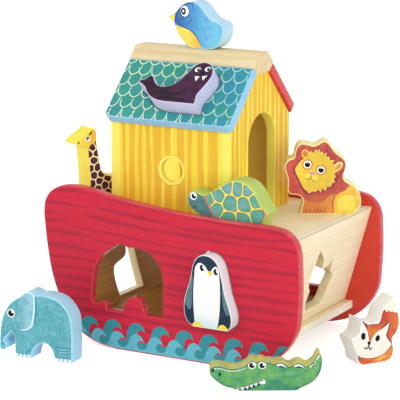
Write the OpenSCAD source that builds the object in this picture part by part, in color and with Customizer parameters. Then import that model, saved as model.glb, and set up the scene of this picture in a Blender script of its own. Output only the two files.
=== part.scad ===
// Toy ark: a painted board hull and house, with nine animal blocks that post through
// cut-outs of their own shape. Millimetres; X runs along the hull, Y to the back, Z up.
// The origin is on the floor, under the middle of the hull.

/* [Hull] */
// Length of the two hull sides
hull_l = 280; // [260:1:300]
// Width over both hull sides
hull_w = 190; // [180:1:205]
// Thickness of the two hull sides
side_t = 9; // [7:0.5:11]
// Height of the deck's top, flush with the end walls' tops
deck_z = 128; // [122:1:136]
// How far the hull sides' high end stands above the deck
bow_rise = 30.8; // [26:0.2:36]
// Thickness of the deck board
deck_t = 9; // [6:0.5:12]
// Height of the floor board's top
floor_z = 29; // [26:0.5:32]
// Thickness of the floor board
floor_t = 8; // [6:0.5:10]
// Thickness of the slanted end walls
end_t = 9; // [7:0.5:11]
// How far the end walls' tops stand in from the ends of the hull sides
end_inset = 9; // [6:0.5:14]
// How far each end wall leans out from foot to top
end_lean = 28; // [20:1:34]
// How far the floor board sticks out past the feet of the end walls
ledge = 8.5; // [5:0.5:12]
// Margin between the house's inside and the hatch in the deck
hatch_rim = 8; // [4:1:16]
// Corner radius of the hatch
hatch_r = 12; // [6:1:20]

/* [House] */
// Length of the house over both gables
house_l = 132; // [124:1:138]
// Where the middle of the house stands along the hull
house_x = -16; // [-20:1:-12]
// Thickness of the front and back walls
wall_t = 6; // [5:0.5:8]
// Thickness of the two gables
gable_t = 10; // [8:0.5:12]
// Height of the outer wall top above the deck
wall_h = 91.4; // [86:0.2:96]
// Width of the arched door
door_w = 57; // [48:1:62]
// Height of the arched door
door_h = 100; // [92:1:106]
// Where the middle of the door stands across the gable
door_y = 3; // [-3:0.5:5]
// Diameter of the round window
window_d = 23.5; // [18:0.5:28]
// Where the middle of the window stands, from the middle of the house
window_x = 2; // [-10:0.5:10]
// Height of the window's middle above the deck
window_z = 48.5; // [40:0.5:56]

/* [Roof] */
// Thickness of the roof slabs
roof_t = 10; // [8:0.5:12]
// Play between the roof slabs and the walls under them
roof_play = 0.2; // [0.1:0.1:0.5]
// How far the roof reaches past the gables
overhang = 3; // [1:0.5:6]
// How far the eaves reach out past the walls
eave = 8.6; // [5:0.2:10]
// Corner radius at the eaves
eave_r = 6; // [3:0.5:10]
// Length of the roof slabs, from the eave up to the ridge beam
slab_l = 70; // [67:0.5:74]
// Width of the flat along the ridge beam's top
ridge_top = 20; // [16:0.5:24]
// How far the ridge beam's flanks stand proud of the slabs
ridge_step = 1.4; // [0.8:0.1:2]
// How far the ridge beam's foot drops below the slabs' inner edges
foot_drop = 0.4; // [0.2:0.1:1]

/* [Animals and their cut-outs] */
// Thickness of every animal block
animal_t = 22; // [18:0.5:26]
// Height of the elephant
elephant_h = 66; // [60:0.5:70]
// Height of the giraffe
giraffe_h = 81.5; // [74:0.5:86]
// Height of the penguin
penguin_h = 70.6; // [64:0.2:74]
// Height of the lion
lion_h = 73; // [66:0.5:77]
// Height of the turtle
turtle_h = 51.4; // [46:0.2:54]
// Height of the crocodile
crocodile_h = 34.4; // [31:0.2:37]
// Height of the fox
fox_h = 63.2; // [58:0.2:67]
// Height of the bird
bird_h = 45.3; // [41:0.1:48]
// Height of the walrus
walrus_h = 49.4; // [44:0.2:52]
// Gap left round an animal in its own cut-out
post_gap = 1; // [0.6:0.1:1.6]
// Height of the cut-outs' base line on the hull sides
post_z = 39.5; // [36:0.5:43]
// Play on each side of an animal that stands between house and hull side
stand_gap = 1; // [0.6:0.1:2]
// How far the penguin stands out of the hull side
penguin_out = 13; // [10:0.5:16]
// How far the walrus stands out of the roof slab
walrus_out = 16; // [13:0.5:18]
// Where the elephant's cut-out stands along the hull
elephant_post_x = -45.5; // [-50:0.5:-40]
// Where the penguin stands along the hull
penguin_x = 51; // [46:0.5:56]
// Where the lion's cut-out stands along the back
lion_post_x = -62; // [-66:0.5:-58]
// Where the crocodile's cut-out stands along the back
crocodile_post_x = 46; // [40:0.5:50]
// Where the fox's cut-out stands across the right end wall
fox_post_y = 6; // [0:0.5:10]
// How far up the right end wall the fox's cut-out stands
fox_post_up = 13; // [6:0.5:20]
// Where the giraffe's cut-out stands across the left end wall
giraffe_post_y = -3.5; // [-8:0.5:4]
// How far up the left end wall the giraffe's cut-out stands
giraffe_post_up = 3; // [2:0.5:6]
// Where the walrus stands along the roof, from the middle of the house
walrus_x = 1.3; // [-6:0.1:6]
// How far up the roof slab the walrus stands
walrus_up = 11.8; // [11.6:0.1:14]
// How far up the back roof slab the turtle's cut-out stands
turtle_up = 12; // [11.6:0.1:14]
// Height of the bird's cut-out above the deck
bird_post_z = 46; // [40:1:52]

/* [Where the loose animals stand] */
// Elephant: place along the hull
elephant_x = -108.5; // [-120:0.5:-90]
// Elephant: how far in front of the hull side
elephant_ahead = 65; // [50:1:90]
// Elephant: turn to the left
elephant_turn = 6; // [0:1:12]
// Crocodile: place along the hull
crocodile_x = 129; // [110:1:140]
// Crocodile: how far in front of the hull side
crocodile_ahead = 45; // [42:1:80]
// Crocodile: turn to the left
crocodile_turn = 30; // [20:1:34]
// Fox: how far past the right end of the hull
fox_past = 41; // [36:0.5:60]
// Fox: place across the hull
fox_y = -16; // [-30:1:10]
// Fox: turn to the left
fox_turn = 58; // [50:1:66]
// Lion: how far past the right gable
lion_past = 53.5; // [50:0.5:56]
// Lion: place across the deck
lion_y = 28.8; // [15:0.2:32]
// Lion: turn to the left
lion_turn = 29; // [20:1:34]
// Giraffe: how far past the left gable
giraffe_past = 13.2; // [12:0.2:14]
// Giraffe: place across the deck
giraffe_y = -45; // [-48:1:0]
// Giraffe: turn to the left
giraffe_turn = 64; // [60:1:75]
// Turtle: how far past the right gable
turtle_past = 10; // [0:1:20]

/* [Hidden] */
// Pieces each curved stretch of an outline is drawn with
fine = 5;
// Cutters reach this far past what they cut
over = 1;
hull_in = hull_w - 2*side_t;
end_head = hull_l/2 - end_inset;
end_foot = end_head - end_lean;
end_rise = deck_z - floor_z;
end_slant = norm([end_lean, end_rise]);
end_angle = atan2(end_lean, end_rise);
end_wide = end_t*end_slant/end_rise;
house_y = hull_in/2 - animal_t - 2*stand_gap;
house_left = house_x - house_l/2;
house_right = house_x + house_l/2;
cabin_l = house_l - 2*gable_t;
// The roof slopes at 45 degrees; heights below are where each plane would meet the middle
diag = sqrt(2);
wall_apex = deck_z + wall_h + house_y;
under_apex = wall_apex + roof_play*diag;
slab_apex = under_apex + roof_t*diag;
ridge_apex = slab_apex + ridge_step*diag;
eave_y = house_y + eave;
eave_z = slab_apex - eave_y;
// The beam fills the room that the two slabs leave
ridge_w = 2*(eave_y - slab_l/diag) + ridge_step*diag;
ridge_side_z = ridge_apex - ridge_w/2;
ridge_z = ridge_apex - ridge_top/2;
flank_apex = ridge_side_z - ridge_w/2;
ridge_foot = (under_apex + flank_apex)/2 - foot_drop;
roof_l = house_l + 2*overhang;

// Points on a smooth closed outline. A third number marks a point as a sharp corner.
function flat(p) = [p[0], p[1]];
function unit(v) = v/norm(v);
function heading(a, b, c) = let (p = norm(b - a), q = norm(c - b)) ((c - b)*p/q + (b - a)*q/p)/(p + q);
function bend(a, b, c, d, sharp_b, sharp_c) =
  let (
    run = norm(c - b),
    m = sharp_b ? c - b : run*heading(a, b, c),
    k = sharp_c ? c - b : run*heading(b, c, d),
    steps = sharp_b && sharp_c ? 1 : fine
  )
  [for (i = [0:steps - 1]) let (s = i/steps)
    (2*s^3 - 3*s^2 + 1)*b + (s^3 - 2*s^2 + s)*m + (3*s^2 - 2*s^3)*c + (s^3 - s^2)*k];
function smooth(p) = let (n = len(p))
  [for (i = [0:n - 1])
    let (a = p[(i + n - 1) % n], b = p[i], c = p[(i + 1) % n], d = p[(i + 2) % n])
    each bend(flat(a), flat(b), flat(c), flat(d), len(b) > 2, len(c) > 2)];
// The same outline, grown outwards all round by a gap. Points run clockwise.
function grown(p, gap) = let (n = len(p))
  [for (i = [0:n - 1])
    let (
      in = unit(p[i] - p[(i + n - 1) % n]),
      out = unit(p[(i + 1) % n] - p[i]),
      way = unit(in + out),
      reach = gap/max(0.6, way*out)
    )
    p[i] + reach*[-way[1], way[0]]];
function arc(x, y, r, from, to, steps) =
  [for (i = [0:steps]) let (w = from + (to - from)*i/steps) [x + r*cos(w), y + r*sin(w)]];

// Hull side: high bow on the left, sheer, stern, keel
side_points = [
  [-104, 158.8], [-84, 156.6], [-60, 152.2], [-30, 148.2], [0, 145.2], [30, 143.2], [60, 141.8],
  [90, 141.4], [113, 141], [127, 137.4], [135, 130], [139, 120], [140, 108], [140, 66], [137.5, 44],
  [128, 26.5], [110, 11], [88, 3.2], [62, 0, 1], [-58, 0, 1], [-80, 3.5], [-98, 11.5], [-117, 33],
  [-130, 62], [-136, 90], [-139, 115], [-140, 131], [-138, 141.5], [-132, 150], [-120, 156.6]];
// Animal outlines, base on zero, facing left, clockwise
elephant_body = [
  [-38, 5.5], [-38.8, 14], [-38, 25], [-36, 36], [-32, 45], [-27.5, 51.5], [-21, 57], [-16, 60],
  [-11, 64], [-6.5, 66], [-3, 65], [1, 63, 1], [8, 63.7], [15, 63], [23, 60.8], [29.5, 56.5],
  [34.7, 50.5], [38, 43.5], [39, 36], [39.2, 14], [38.8, 0, 1], [21.5, 0, 1], [19.5, 6], [17.5, 11.5],
  [14, 15], [9.5, 16.5], [5, 16], [0.8, 13.5], [-3.5, 7.5], [-5.5, 0, 1], [-22, 0, 1]];
// The block has a deep gap behind its trunk, the cut-out only a shallow one
trunk_gap = [[-22.4, 10], [-22.6, 19], [-24.2, 23], [-25.8, 24.6], [-27.8, 23], [-30, 20.4], [-34.2, 15.4],
  [-33.6, 13.4], [-31.8, 11.2], [-32, 7.8], [-34, 5.6]];
trunk_notch = [[-22.6, 5], [-24.4, 7.4], [-27.2, 7.8], [-30.4, 6.4], [-34, 5]];
elephant_points = concat(elephant_body, trunk_gap);
elephant_post_points = concat(elephant_body, trunk_notch);
giraffe_points = [
  [-37, 68.5], [-33, 71.5], [-27, 75.5], [-21.5, 78.5], [-18, 81.5], [-15.2, 80], [-14, 76],
  [-14, 68], [-12.6, 60], [-11.2, 52], [-10, 45], [-8.2, 38.5], [-4.8, 34.5], [0, 32.5], [6, 31.2],
  [14, 29.8], [20, 27], [22, 22], [22, 0, 1], [-22, 0, 1], [-22, 12], [-22, 30], [-23, 45], [-24, 55],
  [-25, 62], [-28.5, 65], [-34.5, 65.8]];
penguin_points = [
  [-3.5, 70.6], [1, 70.2], [5.5, 68.3], [9.5, 64.5], [12.5, 59], [14.4, 52], [16.3, 44], [18.6, 34],
  [21.5, 26], [24, 18.5], [25.5, 10.5], [24, 3.5], [20.5, 0, 1], [-15.5, 0, 1], [-22, 4.5], [-25, 11],
  [-25.7, 19], [-25, 26], [-22.7, 34], [-19.7, 43], [-17.6, 52], [-16, 60], [-13.3, 65.5], [-9, 69.2]];
lion_points = [
  [-37.4, 47.3], [-36, 52], [-32.5, 55], [-28.6, 56.5], [-27.6, 61], [-26.2, 66], [-23.6, 69.6],
  [-19.4, 70.6], [-13.8, 69.5], [-9.4, 68.4], [-5.5, 69.6], [-1.6, 72.2], [1.8, 73], [5, 71.2],
  [8.5, 66.7], [12, 62], [17, 58.2], [21, 54.6], [22.8, 49.6], [21.8, 44], [20.2, 38.5], [22, 33.5],
  [26, 31.3], [31, 28], [35.5, 22], [37.3, 16], [37, 9], [34.2, 4], [29, 0, 1], [-22, 0, 1], [-20.2, 8],
  [-19, 13.5], [-21.5, 18], [-27, 19.8], [-31.8, 20.2], [-34, 23.5], [-34.2, 30], [-34.4, 36],
  [-36.4, 42]];
turtle_points = [
  [-43.6, 30], [-41.4, 34.6], [-37, 36.6], [-32, 35.4], [-27, 33.8], [-20.3, 36.6], [-12.5, 41.4],
  [-3.2, 48], [3, 50.6], [8.5, 51.4], [14.5, 50.8], [21, 48.4], [27, 43.2], [31, 37.4], [34, 31.6],
  [37, 28], [41.8, 22.6, 1], [37, 14], [35.5, 8], [35.5, 0, 1], [18, 0, 1], [15, 4], [2, 5.5], [-9, 4],
  [-12, 0, 1], [-29, 0, 1], [-28.5, 8], [-31, 14.6], [-37.5, 17.6], [-42, 22]];
crocodile_points = [
  [-51, 18.5], [-48.6, 22], [-44.5, 23], [-39, 22.2], [-33.5, 20.6], [-26.5, 20.6], [-20.5, 22.2],
  [-16.2, 25.4], [-12.6, 28.2], [-8, 26.9], [-3.6, 28.2], [1, 26.2], [4.6, 26.2], [8.2, 24.6], [10.8, 25.6],
  [14, 26], [17, 24.8], [19.4, 23], [22.8, 22.6], [26, 24.4], [29.8, 25.6], [33.2, 24.6], [35.6, 22.9],
  [38.2, 22.7], [41, 24.4], [43.4, 26.6], [45.4, 30.6], [48.2, 34.4], [50.8, 31], [51, 24],
  [48.8, 15.6], [45, 10], [38.2, 5.3], [33, 3], [28.4, 0, 1], [-24, 0, 1], [-29.5, 2.4], [-37, 4.4],
  [-43, 8], [-48.4, 13]];
fox_points = [
  [-15.2, 46.4, 1], [-11.2, 43], [-7.2, 40.4], [-2.6, 40.2], [1.2, 39.6], [4.4, 40], [6.2, 42.6], [7.2, 46.6],
  [8.4, 50.6], [13, 55.4], [22.8, 63.2, 1], [23.8, 57], [24.9, 51.5], [27.2, 45], [28.3, 38.5], [27.6, 32],
  [25, 26.6], [20.8, 22.2], [21.2, 17.6], [22.2, 12], [21.8, 6.6], [19.4, 2.4], [13.6, 0, 1], [-12, 0, 1],
  [-16.2, 2.6], [-18.5, 7], [-19.5, 12.4], [-22, 17.6], [-24.4, 22.8], [-25.6, 27.6, 1], [-20.8, 29.2],
  [-17, 32.4], [-15.5, 38.6]];
bird_points = [
  [-24, 23.4, 1], [-31, 29.6, 1], [-22.9, 33.8, 1], [-18.7, 38.6], [-14.6, 42.2], [-9.6, 44.6], [-4.4, 45.3],
  [0, 44.6], [4.4, 42], [8.8, 37.6], [13, 32.6], [17.2, 29.2], [22.6, 27.2], [27.6, 25.2], [30, 21.4],
  [30, 16.4], [28.4, 10.6], [25.4, 5.2], [20.5, 1.4], [14, 0, 1], [-4.5, 0, 1], [-9.6, 2.4], [-14.2, 6.4],
  [-18.2, 11.2], [-21.5, 16.2]];
walrus_points = [
  [-38, 20.4, 1], [-35.6, 23.2], [-32, 24.4], [-29.6, 27], [-27.2, 29.4], [-23.8, 28.4], [-20.8, 24.4],
  [-16.8, 20], [-11.8, 18], [-6.4, 18.2], [-0.8, 20.4], [4.2, 24.8], [7.8, 30.8], [11.2, 37], [14, 42.4],
  [17, 46.6], [21.4, 48.9], [26.4, 49.4], [31.8, 47.6], [36, 42.4], [38, 36.4], [37.4, 30], [35.4, 23.4],
  [32.8, 16.6], [31, 11], [31.6, 5.6], [32.2, 0, 1], [-1, 0, 1], [-9.4, 1], [-17, 3.8], [-23.8, 9],
  [-28.2, 14.6], [-32, 17.4]];

function stretched(points, kx, kz) =
  smooth([for (p = points) len(p) > 2 ? [p[0]*kx, p[1]*kz, 1] : [p[0]*kx, p[1]*kz]]);
function top(points) = max([for (p = points) p[1]]);
function span(points) = max([for (p = points) p[0]]) - min([for (p = points) p[0]]);
function side_outline() =
  stretched(side_points, hull_l/span(side_points), (deck_z + bow_rise)/top(side_points));
// An animal's outline at the height asked for
function figure(points, tall) = let (k = tall/top(points)) stretched(points, k, k);

// A board or block standing on its edge: outline in X and Z, from y = 0 to y = t
module upright(points, t) {
  translate([0, t, 0]) rotate([90, 0, 0]) linear_extrude(t) polygon(points);
}
// A board whose outline is seen from the end: outline in Y and Z, from x = 0 to x = t
module crosswise(points, t) {
  rotate([90, 0, 90]) linear_extrude(t) polygon(points);
}
// Cutter for an animal's cut-out through a board of thickness t
module post_hole(points, tall, t) {
  translate([0, -over, 0]) upright(grown(figure(points, tall), post_gap), t + 2*over);
}

// Hull
module hull_side_front() {
  color("#d6344a") translate([0, -hull_w/2, 0]) difference() {
    upright(side_outline(), side_t);
    translate([elephant_post_x, 0, post_z]) post_hole(elephant_post_points, elephant_h, side_t);
    translate([penguin_x, 0, post_z]) post_hole(penguin_points, penguin_h, side_t);
  }
}
module hull_side_back() {
  color("#d6344a") translate([0, hull_w/2 - side_t, 0]) difference() {
    upright(side_outline(), side_t);
    translate([lion_post_x, 0, post_z]) post_hole(lion_points, lion_h, side_t);
    translate([crocodile_post_x, 0, post_z]) post_hole(crocodile_points, crocodile_h, side_t);
  }
}
// Slanted plank on the right; its cut-out is cut square to the slant
module end_plank() {
  translate([0, -hull_in/2, 0]) upright([[end_foot, floor_z], [end_foot - end_wide, floor_z],
    [end_head - end_wide, deck_z], [end_head, deck_z]], hull_in);
}
// Frame on the right plank's outer face: local X runs along Y, local Z up the slant
module on_end(y) {
  translate([end_foot, y, floor_z]) rotate([0, end_angle, 0]) rotate([0, 0, 90]) children();
}
module hull_end_right() {
  color("#eed7a2") difference() {
    end_plank();
    on_end(fox_post_y) translate([0, 0, fox_post_up]) mirror([1, 0, 0]) post_hole(fox_points, fox_h, end_t);
  }
}
module hull_end_left() {
  color("#eed7a2") mirror([1, 0, 0]) difference() {
    end_plank();
    on_end(giraffe_post_y) translate([0, 0, giraffe_post_up]) mirror([1, 0, 0])
      post_hole(giraffe_points, giraffe_h, end_t);
  }
}
module hull_floor() {
  long = 2*(end_foot + ledge);
  color("#eed7a2") translate([-long/2, -hull_in/2, floor_z - floor_t]) cube([long, hull_in, floor_t]);
}
module deck() {
  top = end_head - end_wide;
  low = top - deck_t*end_lean/end_rise;
  hx = cabin_l/2 - hatch_rim - hatch_r;
  hy = house_y - wall_t - hatch_rim - hatch_r;
  color("#eed7a2") difference() {
    translate([0, -hull_in/2, 0]) upright([[-top, deck_z], [top, deck_z], [low, deck_z - deck_t],
      [-low, deck_z - deck_t]], hull_in);
    translate([house_x, 0, deck_z - deck_t - over]) linear_extrude(deck_t + 2*over)
      polygon(concat(arc(hx, hy, hatch_r, 0, 90, 8), arc(-hx, hy, hatch_r, 90, 180, 8),
        arc(-hx, -hy, hatch_r, 180, 270, 8), arc(hx, -hy, hatch_r, 270, 360, 8)));
  }
}

// House
module house_wall() {
  translate([house_left + gable_t, 0, 0]) crosswise([[-house_y, deck_z],
    [wall_t - house_y, deck_z], [wall_t - house_y, deck_z + wall_h + wall_t],
    [-house_y, deck_z + wall_h]], cabin_l);
}
module house_wall_front() {
  color("#fbd44c") difference() {
    house_wall();
    translate([house_x + window_x, wall_t - house_y + over, deck_z + window_z]) rotate([90, 0, 0])
      cylinder(d = window_d, h = wall_t + 2*over, $fn = 96);
  }
}
module house_wall_back() {
  color("#fbd44c") mirror([0, 1, 0]) house_wall();
}
module gable() {
  top = wall_apex - ridge_foot;
  crosswise([[-house_y, deck_z], [house_y, deck_z], [house_y, deck_z + wall_h], [top, ridge_foot],
    [-top, ridge_foot], [-house_y, deck_z + wall_h]], gable_t);
}
module gable_right() {
  color("#fbd44c") translate([house_right - gable_t, 0, 0]) difference() {
    gable();
    translate([-over, door_y, deck_z + door_h - door_w/2]) rotate([0, 90, 0])
      cylinder(d = door_w, h = gable_t + 2*over, $fn = 96);
    translate([-over, door_y - door_w/2, deck_z - over])
      cube([gable_t + 2*over, door_w, door_h - door_w/2 + over]);
  }
}
module gable_left() {
  color("#fbd44c") translate([house_left, 0, 0]) difference() {
    gable();
    translate([gable_t, 0, deck_z + bird_post_z]) rotate([0, 0, 90])
      post_hole(bird_points, bird_h, gable_t);
  }
}

// Roof. Frame of the front slab: origin on the eave's top edge, Y up the slope, Z square out of it
module on_roof() {
  translate([house_x, -eave_y, eave_z]) rotate([45, 0, 0]) children();
}
module slab() {
  x = roof_l/2 - eave_r;
  translate([0, 0, -roof_t]) linear_extrude(roof_t) polygon(concat(
    arc(x, eave_r, eave_r, -90, 0, 8), [[roof_l/2, slab_l], [-roof_l/2, slab_l]],
    arc(-x, eave_r, eave_r, 180, 270, 8)));
}
// Lays an upright block on the roof, painted face out
module laid() {
  rotate([-90, 0, 0]) children();
}
module roof_panel_front() {
  color("#3aa39b") on_roof() difference() {
    slab();
    translate([walrus_x, walrus_up, 0]) laid() post_hole(walrus_points, walrus_h, roof_t);
  }
}
module roof_panel_back() {
  color("#d83c3c") mirror([0, 1, 0]) on_roof() difference() {
    slab();
    translate([0, turtle_up, 0]) laid() post_hole(turtle_points, turtle_h, roof_t);
  }
}
module ridge_beam() {
  foot = ridge_foot - flank_apex;
  color("#eed7a2") translate([house_x - roof_l/2, 0, 0]) crosswise([[-foot, ridge_foot],
    [foot, ridge_foot], [ridge_w/2, ridge_side_z], [ridge_top/2, ridge_z], [-ridge_top/2, ridge_z],
    [-ridge_w/2, ridge_side_z]], roof_l);
}

// Animals, each with its painted face at the front and its base on what it stands on
module animal(points, tall) {
  upright(figure(points, tall), animal_t);
}
module elephant() {
  color("#62b9c2") translate([elephant_x, -hull_w/2 - elephant_ahead, 0]) rotate([0, 0, elephant_turn])
    animal(elephant_points, elephant_h);
}
module giraffe() {
  color("#f7df45") translate([house_left - giraffe_past, giraffe_y, deck_z]) rotate([0, 0, giraffe_turn])
    animal(giraffe_points, giraffe_h);
}
module penguin() {
  color("#2c4152") translate([penguin_x, -hull_w/2 - penguin_out, post_z])
    animal(penguin_points, penguin_h);
}
module lion() {
  color("#d9823c") translate([house_right + lion_past, lion_y, deck_z]) rotate([0, 0, lion_turn])
    animal(lion_points, lion_h);
}
module turtle() {
  color("#5cb8a0") translate([house_right + turtle_past, -hull_in/2 + stand_gap, deck_z])
    animal(turtle_points, turtle_h);
}
module crocodile() {
  color("#5cae68") translate([crocodile_x, -hull_w/2 - crocodile_ahead, 0]) rotate([0, 0, crocodile_turn])
    animal(crocodile_points, crocodile_h);
}
module fox() {
  color("#e0622c") translate([hull_l/2 + fox_past, fox_y, 0]) rotate([0, 0, fox_turn])
    animal(fox_points, fox_h);
}
module bird() {
  color("#5aa8dc") translate([house_x, -animal_t/2, ridge_z]) animal(bird_points, bird_h);
}
module walrus() {
  color("#4f3050") on_roof() translate([walrus_x, walrus_up, walrus_out]) laid()
    animal(walrus_points, walrus_h);
}

hull_side_front();
hull_side_back();
hull_end_right();
hull_end_left();
hull_floor();
deck();
house_wall_front();
house_wall_back();
gable_right();
gable_left();
roof_panel_front();
roof_panel_back();
ridge_beam();
elephant();
giraffe();
penguin();
lion();
turtle();
crocodile();
fox();
bird();
walrus();
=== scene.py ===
# %% [markdown]
# # A painted wooden ark
# The toy is a hull of painted boards with a little house on it, a lift-off roof and nine animal
# blocks that post through holes of their own shape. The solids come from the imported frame. This
# script gives them rounded edges, brushed paint, bare wood and the painted pictures.

import math

import bmesh
import bpy
import numpy as np
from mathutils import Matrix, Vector
from mathutils.geometry import delaunay_2d_cdt


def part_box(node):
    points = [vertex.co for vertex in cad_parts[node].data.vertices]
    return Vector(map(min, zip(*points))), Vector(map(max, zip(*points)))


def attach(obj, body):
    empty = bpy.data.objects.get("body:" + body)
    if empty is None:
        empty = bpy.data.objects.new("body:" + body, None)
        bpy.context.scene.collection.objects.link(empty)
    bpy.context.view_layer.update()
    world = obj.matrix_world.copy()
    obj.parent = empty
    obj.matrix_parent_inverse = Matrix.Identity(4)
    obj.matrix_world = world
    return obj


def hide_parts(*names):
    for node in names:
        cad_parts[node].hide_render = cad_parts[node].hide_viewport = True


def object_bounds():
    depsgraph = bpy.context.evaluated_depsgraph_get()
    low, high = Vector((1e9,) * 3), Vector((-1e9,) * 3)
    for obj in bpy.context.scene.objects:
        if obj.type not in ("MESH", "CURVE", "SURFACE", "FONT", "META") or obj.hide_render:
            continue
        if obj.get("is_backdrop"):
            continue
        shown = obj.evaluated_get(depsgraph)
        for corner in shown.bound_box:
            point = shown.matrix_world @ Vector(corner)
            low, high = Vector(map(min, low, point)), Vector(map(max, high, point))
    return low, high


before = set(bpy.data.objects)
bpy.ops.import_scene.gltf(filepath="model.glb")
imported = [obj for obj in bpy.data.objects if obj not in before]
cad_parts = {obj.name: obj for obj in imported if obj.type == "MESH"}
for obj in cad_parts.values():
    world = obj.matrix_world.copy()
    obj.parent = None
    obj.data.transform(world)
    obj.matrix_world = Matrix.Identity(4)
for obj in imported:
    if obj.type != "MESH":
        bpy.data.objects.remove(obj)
cad_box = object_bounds()
MM = 0.001
X, Y, Z = Vector((1, 0, 0)), Vector((0, 1, 0)), Vector((0, 0, 1))
print("frame", len(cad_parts), "solids, box", [round(c/MM, 1) for c in cad_box[1] - cad_box[0]])

# %% [markdown]
# ## Colours and nodes
# Colours are written the way a paint chart gives them, as sRGB hex values, and one function turns
# them to the linear light that the renderer adds up. A second small function adds a node, sets it
# and links it, so that a finish reads as a list of its layers.

# %% Colour, node and object helpers
def linear(chart):
    """Linear RGBA of an sRGB hex colour."""
    parts = [int(chart[i:i + 2], 16)/255 for i in (1, 3, 5)]
    return (*(c/12.92 if c <= 0.04045 else ((c + 0.055)/1.055)**2.4 for c in parts), 1)


def add(tree, kind, inputs=None, **settings):
    """Adds a node. An input is a value, the output that feeds it, or a node whose first live output does."""
    node = tree.nodes.new(kind)
    for name, value in settings.items():
        setattr(node, name, value)
    for name, value in (inputs or {}).items():
        if isinstance(value, bpy.types.Node):
            value = next(output for output in value.outputs if output.enabled)
        if isinstance(value, bpy.types.NodeSocket):
            tree.links.new(value, node.inputs[name])
        else:
            node.inputs[name].default_value = value
    return node


def blank(owner):
    """The empty node tree of a material or world."""
    owner.use_nodes = True
    owner.node_tree.nodes.clear()
    return owner.node_tree


def put(name, data):
    """An object in the scene for a mesh, lamp or camera."""
    thing = bpy.data.objects.new(name, data)
    bpy.context.scene.collection.objects.link(thing)
    return thing


print("white is", linear("#ffffff"))

# %% [markdown]
# ## Brushed paint
# The boards and blocks carry a thin satin water-based paint, brushed on sanded wood. Up close it is
# never one flat tone: long streaks follow the brush, and soft clouds show where it pooled. An image
# could be painted for that, but noise that is stretched along the brush gives the same at any size.
# Each paint has a main tone, a pale tone for the streaks and a deep tone for the clouds, and it may
# fade to another tone across its picture.

# %% Layers of a finish
MIX_A, MIX_B = 6, 7  # the colour inputs of a mix node


def coat(tree, under, over, value, span, most=1, **settings):
    """One tone over another, from none of it to most while a value runs through a span."""
    share = add(tree, "ShaderNodeMapRange", {"Value": value, "From Min": span[0], "From Max": span[1],
        "To Max": most}, **settings)
    return add(tree, "ShaderNodeMix", {0: share, MIX_A: under, MIX_B: over}, data_type="RGBA")


def varnish(tree, colour, dull, rough, height, depth, strength, gloss):
    """The surface: dull drives its roughness between two values, height its relief of a depth in mm."""
    sheen = add(tree, "ShaderNodeMapRange", {"Value": dull, "To Min": rough[0], "To Max": rough[1]})
    relief = add(tree, "ShaderNodeBump", {"Height": height, "Strength": strength, "Distance": depth*MM})
    surface = add(tree, "ShaderNodeBsdfPrincipled", {"Base Color": colour, "Roughness": sheen, "Normal": relief,
        "Specular IOR Level": gloss})
    add(tree, "ShaderNodeOutputMaterial", {"Surface": surface})


# %% Paint
HOME = (0, 0, 0), (0, 0, 0)
MARKS, POOLS, WET = (0.48, 0.72), (0.5, 0.78), (0.46, 0.66)
WET_AT, WET_MOST = (0.37, 0.11, 0.53), 0.9
SHEEN_SPREAD, BRUSH_DEPTH, BRUSH_RELIEF = 0.1, 0.12, 0.25  # the depth in mm


def paint(name, tones, spot=HOME, streak=(26, 3), cloud=11, amount=0.75, fade=None, tint=None, shine=0.44,
          gloss=0.35):
    """Satin paint in a main, a pale and a deep tone. spot: where its brush marks are centred and how
    they turn; streak: their length and width in mm along the picture's own axes; cloud: size of the
    pools in mm; fade: (tone, axis, from, to), which blends to that tone between two places in mm;
    tint: (tone, size in mm), a second colour that was worked in while the first was wet; gloss: how
    much the coat mirrors."""
    material = bpy.data.materials.new(name)
    tree = blank(material)
    tone, pale, deep = (linear(chart) for chart in tones.split())
    place = add(tree, "ShaderNodeTexCoord").outputs["Object"]
    pose = {"Location": spot[0], "Rotation": spot[1]}
    brush = add(tree, "ShaderNodeMapping", {"Vector": place, "Scale": [s*MM for s in (streak[0], *streak)], **pose},
        vector_type="TEXTURE")
    mark = add(tree, "ShaderNodeTexNoise", {"Vector": brush, "Scale": 1, "Detail": 4})
    pools = add(tree, "ShaderNodeMapping", {"Vector": place, "Scale": (cloud*MM,)*3}, vector_type="TEXTURE")
    pool = add(tree, "ShaderNodeTexNoise", {"Vector": pools, "Scale": 1, "Detail": 3})
    if fade:
        far_tone, axis, *span = fade
        local = add(tree, "ShaderNodeMapping", {"Vector": place, "Scale": (MM,)*3, **pose}, vector_type="TEXTURE")
        along = add(tree, "ShaderNodeSeparateXYZ", {"Vector": local}).outputs[axis]
        tone = coat(tree, tone, linear(far_tone), along, span, interpolation_type="SMOOTHSTEP")
    if tint:
        second, size = tint
        wash = add(tree, "ShaderNodeMapping", {"Vector": place, "Location": WET_AT, "Scale": (size*MM,)*3},
            vector_type="TEXTURE")
        wet = add(tree, "ShaderNodeTexNoise", {"Vector": wash, "Scale": 1, "Detail": 4})
        tone = coat(tree, tone, linear(second), wet, WET, WET_MOST)
    tone = coat(tree, tone, pale, mark, MARKS, amount)
    tone = coat(tree, tone, deep, pool, POOLS, amount)
    varnish(tree, tone, mark, (shine + SHEEN_SPREAD, shine - SHEEN_SPREAD), mark, BRUSH_DEPTH, BRUSH_RELIEF, gloss)
    return material


# The hull's raspberry red is smooth, with a faint grain of the brush
hull_red = paint("hull_red_satin_paint", "#d3263f #d9354d #c8223b", streak=(90, 3), cloud=60, amount=0.4, gloss=0.2)
print(hull_red.name, "has", len(hull_red.node_tree.nodes), "nodes")

# %% [markdown]
# ## Bare wood
# End walls, floor, deck and ridge beam are pale sanded lime wood with a thin clear coat. The eye sees
# soft bands of early and late growth along the board, and fine darker pores between them. Both
# are noise in the solid itself, so that the end grain on a sawn edge matches the grain on the face.

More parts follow.
